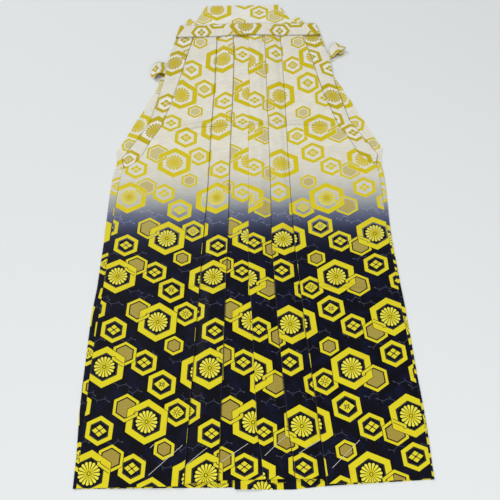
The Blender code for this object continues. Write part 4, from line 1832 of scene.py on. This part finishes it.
def plate_mesh(
    name: str, corners: Sequence, low: float, wall: float, rounding: float, lay: Lay,
) -> bpy.types.Mesh:
    """A plate of an outline's corners with soft edges, charted as it lies.

    Args:
        name: the mesh's name.
        corners: (x, height) corners, running round.
        low: the height of its underside.
        wall: its thickness.
        rounding: how far its edges are rounded.
        lay: how the cloth lies on it.

    Returns:
        The new mesh.
    """
    shape = bmesh.new()
    ring = [shape.verts.new((x, height - MIDDLE_HEIGHT, low)) for x, height in corners]
    base = shape.faces.new(ring)
    made = bmesh.ops.extrude_face_region(shape, geom=[base])
    top = [part for part in made["geom"] if isinstance(part, bmesh.types.BMVert)]
    bmesh.ops.translate(shape, verts=top, vec=(0.0, 0.0, wall))
    bmesh.ops.bevel(
        shape, geom=list(shape.edges), offset=rounding, segments=4, affect="EDGES", profile=0.5
    )
    bmesh.ops.recalc_face_normals(shape, faces=shape.faces)
    layer = shape.loops.layers.uv.new("cut")
    for face in shape.faces:
        for corner in face.loops:
            x, y, _ = corner.vert.co
            across, along = lay.chart(x, y + MIDDLE_HEIGHT)
            corner[layer].uv = (across * MM, along * MM)
    mesh = bpy.data.meshes.new(name)
    shape.to_mesh(mesh)
    shape.free()
    mesh.shade_smooth()
    mesh.set_sharp_from_angle(angle=math.radians(40))
    for word in ("crevice", "pressed"):
        mesh.attributes.new(word, "FLOAT", "POINT")
    return mesh


@dataclass
class Plate(Piece):
    """A stiff flat piece: the back board, or a back tie's pressed tip."""

    corners: tuple
    low: float
    wall: float
    rounding: float
    lay: Lay
    held: str
    rests_on: tuple

    def build(self, material: Material) -> Item:
        """Builds the plate and dresses it.

        Args:
            material: its brocade.

        Returns:
            The piece.
        """
        sizes = (self.corners, self.low, self.wall, self.rounding)
        mesh = plate_mesh(self.name, *sizes, self.lay)
        item = in_scene(self.name, mesh)
        corners = np.array(self.corners)
        x, y = corners[:, 0], corners[:, 1]
        area = abs(float(np.dot(x, np.roll(y, -1)) - np.dot(y, np.roll(x, -1)))) / 2
        flat = (float(np.ptp(x)), float(np.ptp(y)))
        self.dress(item, material, flat, area, self.held, list(self.rests_on))
        return item


def spline_through(points: np.ndarray, steps: int) -> np.ndarray:
    """Points of a smooth line through others, each stretch cut into equal steps.

    Args:
        points: the given points.
        steps: how many steps each stretch has.

    Returns:
        All the line's points.
    """
    padded = np.vstack([2 * points[0] - points[1], points, 2 * points[-1] - points[-2]])
    made = []
    for at in range(1, len(padded) - 2):
        before, start, end, after = padded[at - 1 : at + 3]
        for share in np.arange(steps) / steps:
            bend = (2 * before - 5 * start + 4 * end - after) * share**2
            swing = (3 * start - before - 3 * end + after) * share**3
            made.append(0.5 * (2 * start + (end - before) * share + bend + swing))
    return np.array([*made, points[-1]])


@dataclass
class TieFold(Piece):
    """A fold of the front tie beside the waist: where it leaves the edge, its tip, and its section.

    Attributes:
        low: the ribbon's hem side, as its (x, height) at the garment's edge and at the tip.
        high: the same on its waist side.
        section: (share of the way to the tip, z) points from inside to inside.
        start: the chart's (across, along) millimetres on the hem side of the last tip.
        sag: how far the ribbon's middle sinks between its edges.
        slip: how far the upper layer's hem side lies towards the waist from the lower layer's.
        pull: how far the tip's corners are drawn in, against its middle.
        rows: how many rows of points lie across the ribbon.
    """

    low: tuple
    high: tuple
    section: tuple
    start: tuple
    sag: float
    rests_on: tuple
    slip: float = 0.0
    pull: float = 0.0
    rows: int = 15

    def build(self, material: Material) -> Item:
        """Builds the fold and dresses it.

        Args:
            material: its brocade.

        Returns:
            The piece.
        """
        line = spline_through(np.array(self.section), 5)
        turned = np.linalg.norm(np.diff(line * (0.034, 1.0), axis=0), axis=1)
        turned = np.concatenate([[0.0], np.cumsum(turned)]) / turned.sum()
        slipped = self.slip * smooth_step(turned, 0.30, 0.72)
        upward = np.array(self.high[0]) - np.array(self.low[0])
        upward = upward / np.linalg.norm(upward)
        rows, shifts = [], []
        for across in np.linspace(0.0, 1.0, self.rows):
            edge = np.array(self.low[0]) * (1 - across) + np.array(self.high[0]) * across
            tip = np.array(self.low[1]) * (1 - across) + np.array(self.high[1]) * across
            drawn = self.pull * (2 * across - 1) ** 2 / float(np.linalg.norm(tip - edge))
            place = edge[None] + (tip - edge)[None] * line[:, :1] * (1 - drawn * (line[:, :1] > 0))
            place = place + upward[None] * slipped[:, None] * (1 - across)
            shifts.append(slipped * (1 - across))
            free = np.clip(line[:, 1] - 0.0034, 0.0, 0.004) / 0.004
            sink = self.sag * (1 - (2 * across - 1) ** 2) * free
            rows.append(np.column_stack([place[:, 0], place[:, 1] - MIDDLE_HEIGHT, line[:, 1] - sink]))
        points = np.array(rows)
        steps = np.linalg.norm(np.diff(points, axis=1), axis=2)
        walk = np.concatenate([np.zeros((self.rows, 1)), np.cumsum(steps, axis=1)], axis=1)
        width = float(np.linalg.norm(points[-1, 0] - points[0, 0]))
        across = np.linspace(0.0, width, self.rows)[:, None] + np.array(shifts)
        across = self.start[0] + across / MM
        last_tip = np.flatnonzero(line[:, 0] > 0.985 * line[:, 0].max())[-1]
        along = self.start[1] + (walk - walk[:, last_tip:last_tip + 1]) / MM
        chart = np.stack([across, along], axis=2)
        zeros = np.zeros(walk.shape)
        # Painted shade in the loop's hollow, under the upper layer's edge
        hollow = zeros + 1.2 * plateau(line[:, 1], 0.0024, 0.0022) * (line[:, 0] > 0.05)
        if self.slip:
            inward = np.linspace(0.0, width, self.rows)[:, None] / self.slip
            hollow = hollow * smooth_step(inward, 0.40, 0.75)
        mesh = grid_mesh(self.name, points, (chart[:, :-1], chart[:, 1:]), hollow, zeros)
        item = walled(self.name, mesh, CLOTH, 60.0)
        flat = (width, float(walk.max()))
        self.dress(item, material, flat, one_side_area(points), "folded", list(self.rests_on))
        return item


@dataclass
class TieRun(Piece):
    """The stretch of tie that shows beyond the left slit strip, below the tie's fold."""

    lay: Lay
    inside: float = 0.022
    outside: float = 0.010
    start: float = 0.781
    end: float = 0.817

    def build(self, material: Material) -> Item:
        """Builds the stretch and dresses it.

        Args:
            material: its brocade.

        Returns:
            The piece.
        """
        heights = np.linspace(self.start, self.end, 9)
        edge = read(STRIP_EDGE, heights)
        shares = np.linspace(0.0, 1.0, 12)
        distance = edge[:, None] - self.inside + (self.inside + self.outside) * shares[None]
        rise = 0.0002 * np.sin(np.linspace(0, math.pi, 9))[:, None] + 0.0 * distance
        y = heights[:, None] - MIDDLE_HEIGHT + 0.0 * distance
        points = np.stack([-distance, y, FRONT_LEVEL + rise], axis=2)
        chart = np.stack(self.lay.chart(-distance, y + MIDDLE_HEIGHT), axis=2)
        # Painted shade where the run goes under the slit strip's edge
        shade = plateau(distance - edge[:, None], 0.0006, 0.0012)
        mesh = grid_mesh(self.name, points, (chart[:, :-1], chart[:, 1:]), shade, 0 * shade)
        item = walled(self.name, mesh, CLOTH)
        flat = (self.inside + self.outside, self.end - self.start)
        self.dress(item, material, flat, one_side_area(points), "laid", ["back_left"])
        return item


class ThreadWork:
    """Basting floats and rows of stitches, laid on the cloth's own surface."""

    clearance = 0.00035

    def __init__(self, cloths: Sequence) -> None:
        """Keeps the surfaces that the threads lie on.

        Args:
            cloths: the pieces that threads are sewn on.
        """
        self.trees = []
        for cloth in cloths:
            mesh = cloth.data
            corners = [vertex.co.copy() for vertex in mesh.vertices]
            faces = [tuple(face.vertices) for face in mesh.polygons]
            self.trees.append(BVHTree.FromPolygons(corners, faces))

    def top(self, x: float, height: float) -> Vector | None:
        """The highest point of the cloth at a place, or None.

        Args:
            x: the place across.
            height: its height.

        Returns:
            The point, or None beside the cloth.
        """
        start = Vector((x, height - MIDDLE_HEIGHT, 0.05))
        hits = [tree.ray_cast(start, Vector((0, 0, -1)))[0] for tree in self.trees]
        hits = [hit for hit in hits if hit is not None]
        return max(hits, key=lambda hit: hit.z) if hits else None

    def _paths(self, name: str, runs: Sequence) -> Item:
        """A curve object of one straight spline for each run of points.

        Args:
            name: the piece's name.
            runs: lists of points.

        Returns:
            The curve object.
        """
        data = bpy.data.curves.new(name, "CURVE")
        data.dimensions = "3D"
        for run in runs:
            spline = data.splines.new("POLY")
            spline.points.add(len(run) - 1)
            for point, place in zip(spline.points, run):
                point.co = (*place, 1.0)
        return in_scene(name + "_paths", data)

    @staticmethod
    def _tree(name: str, sizes: dict) -> tuple:
        """A geometry tree with a path, named sizes and a material.

        Args:
            name: the tree's name.
            sizes: each size's value by name.

        Returns:
            Its builder, its inputs and its output node.
        """
        tree = bpy.data.node_groups.new(name, "GeometryNodeTree")
        tree.interface.new_socket("Path", in_out="INPUT", socket_type="NodeSocketGeometry")
        for word, value in sizes.items():
            socket = tree.interface.new_socket(word, in_out="INPUT", socket_type="NodeSocketFloat")
            socket.default_value = value
        tree.interface.new_socket("Thread", in_out="INPUT", socket_type="NodeSocketMaterial")
        tree.interface.new_socket("Sewing", in_out="OUTPUT", socket_type="NodeSocketGeometry")
        entry = tree.nodes.new("NodeGroupInput")
        leave = tree.nodes.new("NodeGroupOutput")
        return Nodes(tree), entry.outputs, leave

    def _end(self, make: Nodes, given: object, leave: bpy.types.Node, geometry: Socket) -> Tree:
        """Realizes the instances, sets the thread's material and links the tree's output.

        Args:
            make: the tree's builder.
            given: the tree's inputs.
            leave: its output node.
            geometry: what it has made.

        Returns:
            The tree.
        """
        real = make("GeometryNodeRealizeInstances", geometry)
        done = make("GeometryNodeSetMaterial", real, named={"Material": given["Thread"]})
        make.tree.links.new(done, leave.inputs[0])
        return make.tree

    def float_tree(self, radius: float) -> Tree:
        """A tree that makes a round thread along each path.

        Args:
            radius: the thread's.

        Returns:
            The tree.
        """
        make, given, leave = self._tree("basting_float", {"Radius": radius})
        circle = {"Resolution": 6, "Radius": given["Radius"]}
        ring = make("GeometryNodeCurvePrimitiveCircle", named=circle)
        tube = make("GeometryNodeCurveToMesh", given["Path"], ring, named={"Fill Caps": True})
        return self._end(make, given, leave, tube)

    def stitch_tree(self, pitch: float, length: float, radius: float, arch: float) -> Tree:
        """A tree that sets one short arched stitch at each step along each path.

        Args:
            pitch: from one stitch to the next.
            length: a stitch's length.
            radius: the thread's.
            arch: how far a stitch stands up.

        Returns:
            The tree.
        """
        sizes = {"Pitch": pitch, "Length": length, "Radius": radius, "Arch": arch}
        make, given, leave = self._tree("running_stitch", sizes)
        half = make(Do.TIMES, given["Length"], 0.5)
        back = make(Do.TIMES, given["Length"], -0.5)
        ends = [make(JOIN, side, 0.0, 0.0) for side in (back, half)]
        crown = make(JOIN, 0.0, 0.0, given["Arch"])
        arc = {"Resolution": 4, "Start": ends[0], "Middle": crown, "End": ends[1]}
        arc = make("GeometryNodeCurveQuadraticBezier", named=arc)
        circle = {"Resolution": 5, "Radius": given["Radius"]}
        ring = make("GeometryNodeCurvePrimitiveCircle", named=circle)
        stitch = make("GeometryNodeCurveToMesh", arc, ring, named={"Fill Caps": True})
        steps = {"Length": given["Pitch"]}
        points = make("GeometryNodeResampleCurve", given["Path"], named=steps, mode="LENGTH")
        tangent = make("GeometryNodeInputTangent")
        turn = make("FunctionNodeAlignRotationToVector", named={"Vector": tangent}, axis="X")
        placed = {"Instance": stitch, "Rotation": turn}
        rows = make("GeometryNodeInstanceOnPoints", points, named=placed)
        return self._end(make, given, leave, rows)

    def sew(self, name: str, runs: Sequence, tree: Tree, thread: Material) -> Item:
        """Runs a tree along paths and keeps the result as a plain mesh.

        Args:
            name: the piece's name.
            runs: lists of points.
            tree: the geometry tree.
            thread: the material.

        Returns:
            The piece.
        """
        paths = self._paths(name, runs)
        modifier = paths.modifiers.new("sewing", "NODES")
        modifier.node_group = tree
        for socket in tree.interface.items_tree:
            if socket.in_out == "INPUT" and socket.name == "Thread":
                modifier[socket.identifier] = thread
        mesh = plain_mesh(paths, name)
        item = in_scene(name, mesh)
        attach(item, "root")
        log.info("%s: %d faces", name, len(mesh.polygons))
        return item

    def along(self, table: Sequence, heights: np.ndarray, side: int, inset: float) -> list:
        """Points on the cloth along an edge, set in from it.

        Args:
            table: the edge's half-widths.
            heights: the points' heights.
            side: -1 on the left, 1 on the right.
            inset: how far inside the edge.

        Returns:
            The points.
        """
        found = []
        for height in heights:
            hit = self.top(side * (float(read(table, height)) - inset), float(height))
            if hit is not None:
                found.append(hit + Vector((0, 0, self.clearance)))
        return found

    def across(self, start: tuple, end: tuple, steps: int, slack: float = 0.0) -> list:
        """Points on the cloth from one place to another.

        Args:
            start: (x, height) of one end.
            end: (x, height) of the other.
            steps: how many points.
            slack: how far the middle stands off the cloth.

        Returns:
            The points.
        """
        found = []
        for share in np.linspace(0.0, 1.0, steps):
            x = start[0] + (end[0] - start[0]) * share
            height = start[1] + (end[1] - start[1]) * share
            hit = self.top(float(x), float(height))
            if hit is not None:
                found.append(hit + Vector((0, 0, self.clearance + slack * math.sin(math.pi * share))))
        return found


# Sizes of the threads, their stitches and where they run, in metres
BASTING_RADIUS = 0.00032
BASTING_SLACK = 0.0006
STITCH_SIZES = (0.0085, 0.0020, 0.00016, 0.0004)
STITCH_HEIGHTS = (0.66, 0.925)
STRIP_INSET = 0.0045
FRONT_INSET = 0.0040
BAND_INSET = 0.0022
BAND_SEWN_HALF = 0.146
# Basting floats that hold the pleats at the hem, end to end as (x, height)
BASTING_FLOATS = [
    ((-0.163, 0.017), (-0.112, 0.061)),
    ((-0.105, 0.032), (-0.073, 0.056)),
    ((-0.051, 0.035), (-0.009, 0.062)),
    ((0.017, 0.043), (0.053, 0.075)),
    ((0.070, 0.046), (0.105, 0.066)),
    ((0.121, 0.024), (0.167, 0.065)),
    ((-0.163, 0.0575), (-0.158, 0.0625)),
]
# Sections of the front tie's folds, as (share of the way to the tip, z)
LEFT_SECTION = (
    (-0.50, 0.0019), (0.00, 0.0019), (0.35, 0.0011), (0.75, 0.0010), (0.93, 0.0028), (1.00, 0.0062),
    (0.92, 0.0096), (0.72, 0.0112), (0.48, 0.0100), (0.28, 0.0062), (0.12, 0.0035), (0.00, 0.0033),
    (-0.50, 0.0033),
)
RIGHT_SECTION = (
    (-0.45, 0.0019), (0.00, 0.0019), (0.30, 0.0012), (0.88, 0.0012), (0.97, 0.0018), (1.00, 0.0031),
    (0.97, 0.0044), (0.88, 0.0050), (0.60, 0.0050), (0.575, 0.00535), (0.575, 0.00605), (0.60, 0.0064),
    (0.88, 0.0066), (0.97, 0.0072), (1.00, 0.0085), (0.97, 0.0098), (0.88, 0.0104), (0.50, 0.0098),
    (0.32, 0.0066), (0.16, 0.0037), (0.00, 0.0033), (-0.45, 0.0033),
)
# Outlines of the back ties' tips, and the board
LEFT_TIP = (
    (-0.1390, 0.9508), (-0.0920, 0.9508), (-0.1040, 0.9720), (-0.1200, 0.9830), (-0.1320, 0.9960),
    (-0.1395, 0.9860),
)
RIGHT_TIP = ((0.0820, 0.9508), (0.1290, 0.9508), (0.1272, 0.9770), (0.1120, 1.0000), (0.0965, 0.9770))
BOARD_HALF_TOP = 0.084
BOARD_SLOPE = 0.48
BOARD_OFF_CENTRE = -0.011
BOARD_WALL = 0.0030
TIE_WALL = 0.0016


def board_corners() -> tuple:
    """The back board's outline, a trapezium set a little off the centre line.

    Returns:
        Its (x, height) corners, running round.
    """
    half_base = BOARD_HALF_TOP + (BOARD_TOP - BOARD_BASE) * BOARD_SLOPE
    right = [(half_base, BOARD_BASE), (BOARD_HALF_TOP, BOARD_TOP)]
    left = [(-x, height) for x, height in reversed(right)]
    return tuple((x + BOARD_OFF_CENTRE, height) for x, height in right + left)


@dataclass
class Studio:
    """The pale floor, soft light and camera."""

    eye: tuple = (0.0046494, -0.6071, 0.98653)
    pitch: float = 1.10420343
    yaw: float = 0.0134453
    roll: float = -0.0276916
    lens: float = 43.2
    floor_half: float = 6.0
    floor_height: float = -0.0002

    def camera(self) -> None:
        """Sets the camera where the photograph's stood."""
        data = bpy.data.cameras.new("view")
        data.lens = self.lens
        data.sensor_width = 36.0
        item = in_scene("view", data)
        tilt = Matrix.Rotation(math.pi / 2 - self.pitch, 3, "X")
        turn = Matrix.Rotation(self.yaw, 3, "Z")
        spin = Matrix.Rotation(self.roll, 3, "Z")
        item.matrix_world = (turn @ tilt @ spin).to_4x4()
        item.location = self.eye
        bpy.context.scene.camera = item

    def floor(self) -> None:
        """A plain pale floor under the garment."""
        half, low = self.floor_half, self.floor_height
        corners = [(-half, -half, low), (half, -half, low), (half, half, low), (-half, half, low)]
        mesh = bpy.data.meshes.new("floor")
        mesh.from_pydata(corners, [], [(0, 1, 2, 3)])
        item = in_scene("floor", mesh)
        # Painted board: a pale, matt grey-white that takes a soft shadow
        material = bpy.data.materials.new("white_board_floor")
        material.use_nodes = True
        shader = material.node_tree.nodes["Principled BSDF"]
        shader.inputs["Base Color"].default_value = linear("#E6E9E9")
        shader.inputs["Roughness"].default_value = 0.75
        shader.inputs["Specular IOR Level"].default_value = 0.2
        mesh.materials.append(material)

    @staticmethod
    def light(name: str, place: tuple, target: tuple, size: float, power: float, colour: tuple) -> None:
        """A soft square light aimed at a point.

        Args:
            name: its name.
            place: where it stands.
            target: where it points.
            size: its side in metres.
            power: its watts.
            colour: its linear colour.
        """
        data = bpy.data.lights.new(name, "AREA")
        data.shape = "SQUARE"
        data.size = size
        data.energy = power
        data.color = colour
        item = in_scene(name, data)
        item.location = place
        way = Vector(target) - Vector(place)
        item.rotation_euler = way.to_track_quat("-Z", "Y").to_euler()

    def build(self) -> None:
        """Sets up the studio."""
        self.camera()
        self.floor()
        self.light("window", (-3.0, 2.2, 3.6), (0, 0, 0), 1.7, 88.0, (1.0, 0.99, 0.97))
        self.light("fill", (0.4, -2.3, 2.5), (0, -0.5, 0), 2.4, 62.0, (0.98, 0.985, 1.0))
        world = bpy.data.worlds.new("studio")
        world.use_nodes = True
        sky = world.node_tree.nodes["Background"]
        sky.inputs["Color"].default_value = (0.97, 0.985, 1.0, 1.0)
        sky.inputs["Strength"].default_value = 0.41
        bpy.context.scene.world = world
        bpy.context.scene.view_settings.view_transform = "Standard"


@dataclass
class Trousers:
    """All the pieces of the garment, built in the order that they lie."""

    cloths: list = field(default_factory=list)

    def body(self, material: Material) -> None:
        """The backs, gussets and pleated fronts.

        Args:
            material: the dyed brocade.
        """
        left_wing = Lay(Motif.BIG, -0.2323, 0.6964, -50.8)
        left_hem = Grain(((0.0, -0.056), (0.6, -0.056)), Motif.BIG, -0.0020)
        left_flap = Grain(((0.1, -0.2995), (0.5, -0.2995)), Motif.SMALL, 0.3235)
        left_back = (left_flap, Parted(left_hem, left_wing, SLIT_HEIGHT))
        right_wing = Lay(Motif.FLOWER, 0.2153, 0.6905, 47.7)
        right_hem = Grain(((0.0, 0.012), (0.6, 0.012)), Motif.BIG, -0.0060, turned=True)
        right_flap = Grain(((0.1, 0.268), (0.5, 0.268)), Motif.DIAMOND, 0.190, turned=True)
        right_back = (right_flap, Parted(right_hem, right_wing, SLIT_HEIGHT))
        Back("back_left", "dyed_brocade", -1, left_back).build(material)
        Back("back_right", "dyed_brocade", 1, right_back).build(material)
        Gusset("gusset_left", "dyed_brocade", -1, 0.036, P1_GRAIN).build(material)
        Gusset("gusset_right", "dyed_brocade", 1, 0.019, P4_GRAIN).build(material)
        left_folds = (OUTER_LEFT_FOLD, INNER_LEFT_FOLD)
        left_grains = (P0_GRAIN, P1_GRAIN, P2_GRAIN)
        left = PleatedFront("front_left", "dyed_brocade", -1, left_folds, left_grains, True)
        right_folds = (OUTER_RIGHT_FOLD, INNER_RIGHT_FOLD, CENTRE_FOLD)
        right_grains = (P5_GRAIN, P4_GRAIN, P3_GRAIN)
        right = PleatedFront("front_right", "dyed_brocade", 1, right_folds, right_grains, False)
        self.cloths += [left.build(material), right.build(material)]

    def edges(self, material: Material) -> None:
        """The strips that edge the slits.

        Args:
            material: the pale brocade.
        """
        left = Grain(((0.6815, -0.1951), (0.8617, -0.1613)), Motif.SECOND_BIG, 0.6815, 0.1800)
        right = Grain(((0.7645, 0.1761), (0.9300, 0.1420)), Motif.BIG, 0.7645, 0.1700, 0.0, True)
        self.cloths.append(SlitStrip("slit_strip_left", "pale_brocade", -1, left).build(material))
        self.cloths.append(SlitStrip("slit_strip_right", "pale_brocade", 1, right).build(material))

    def waist(self, material: Material) -> None:
        """The band, the board and the ties.

        Args:
            material: the pale brocade.
        """
        self.cloths.append(Band("front_band", "pale_brocade").build(material))
        board_lay = Lay(Motif.SECOND_BIG, -0.0705, 1.0246, 180.0)
        board = Plate(
            "back_board", "pale_brocade", board_corners(), 0.0, BOARD_WALL, 0.0009, board_lay,
            "stretched", (),
        )
        board.build(material)
        low = BOARD_WALL + SEAM_GAP
        tips = (
            ("left", LEFT_TIP, Lay(Motif.BIG, -0.1057, 0.9750)),
            ("right", RIGHT_TIP, Lay(Motif.FLOWER, 0.1251, 0.9760)),
        )
        for word, corners, lay in tips:
            tie = Plate(
                f"back_tie_{word}", "pale_brocade", corners, low, TIE_WALL, 0.0004, lay,
                "folded", ("back_board",),
            )
            tie.build(material)
        left = TieFold(
            "front_tie_left", "pale_brocade",
            low=((-0.1805, 0.820), (-0.2100, 0.808)), high=((-0.1755, 0.866), (-0.2125, 0.852)),
            section=LEFT_SECTION, start=(-106.0, -31.0), sag=0.0010, rests_on=("back_left",),
            slip=0.0150, pull=0.0070,
        )
        left.build(material)
        right = TieFold(
            "front_tie_right", "pale_brocade",
            low=((0.1775, 0.859), (0.2150, 0.888)), high=((0.1740, 0.8875), (0.1900, 0.911)),
            section=RIGHT_SECTION, start=(-67.0, -47.0), sag=0.0004, rests_on=("back_right",),
            slip=0.0070,
        )
        right.build(material)
        run_lay = Lay(Motif.SHADED_BY_BIG, -0.190, 0.797, 10.0)
        TieRun("front_tie_run_left", "pale_brocade", run_lay).build(material)

    def sewing(self) -> None:
        """The basting floats at the hem and the fine stitches at the seams."""
        work = ThreadWork(self.cloths)
        floats = [work.across(start, end, 12, BASTING_SLACK) for start, end in BASTING_FLOATS]
        work.sew("basting_threads", floats, work.float_tree(BASTING_RADIUS), BASTING.build())
        prick = work.stitch_tree(*STITCH_SIZES)
        heights = np.linspace(*STITCH_HEIGHTS, 90)
        runs = []
        for side in (-1, 1):
            runs.append(work.along(STRIP_EDGE, heights, side, STRIP_INSET))
            runs.append(work.along(FRONT_EDGE, heights, side, FRONT_INSET))
        for height in (BAND_BOTTOM + BAND_INSET, BAND_TOP - BAND_INSET):
            runs.append(work.across((-BAND_SEWN_HALF, height), (BAND_SEWN_HALF, height), 60))
        work.sew("seam_stitches", runs, prick, SEWING.build())


def main() -> None:
    """Builds the studio and the garment, and reports each piece."""
    logging.basicConfig(level=logging.INFO, format="%(name)s: %(message)s")
    Studio().build()
    weave = Weave()
    dyed, pale = DYED.build(weave), PALE.build(weave)
    trousers = Trousers()
    trousers.body(dyed)
    trousers.edges(pale)
    trousers.waist(pale)
    trousers.sewing()


if __name__ == "__main__":
    main()
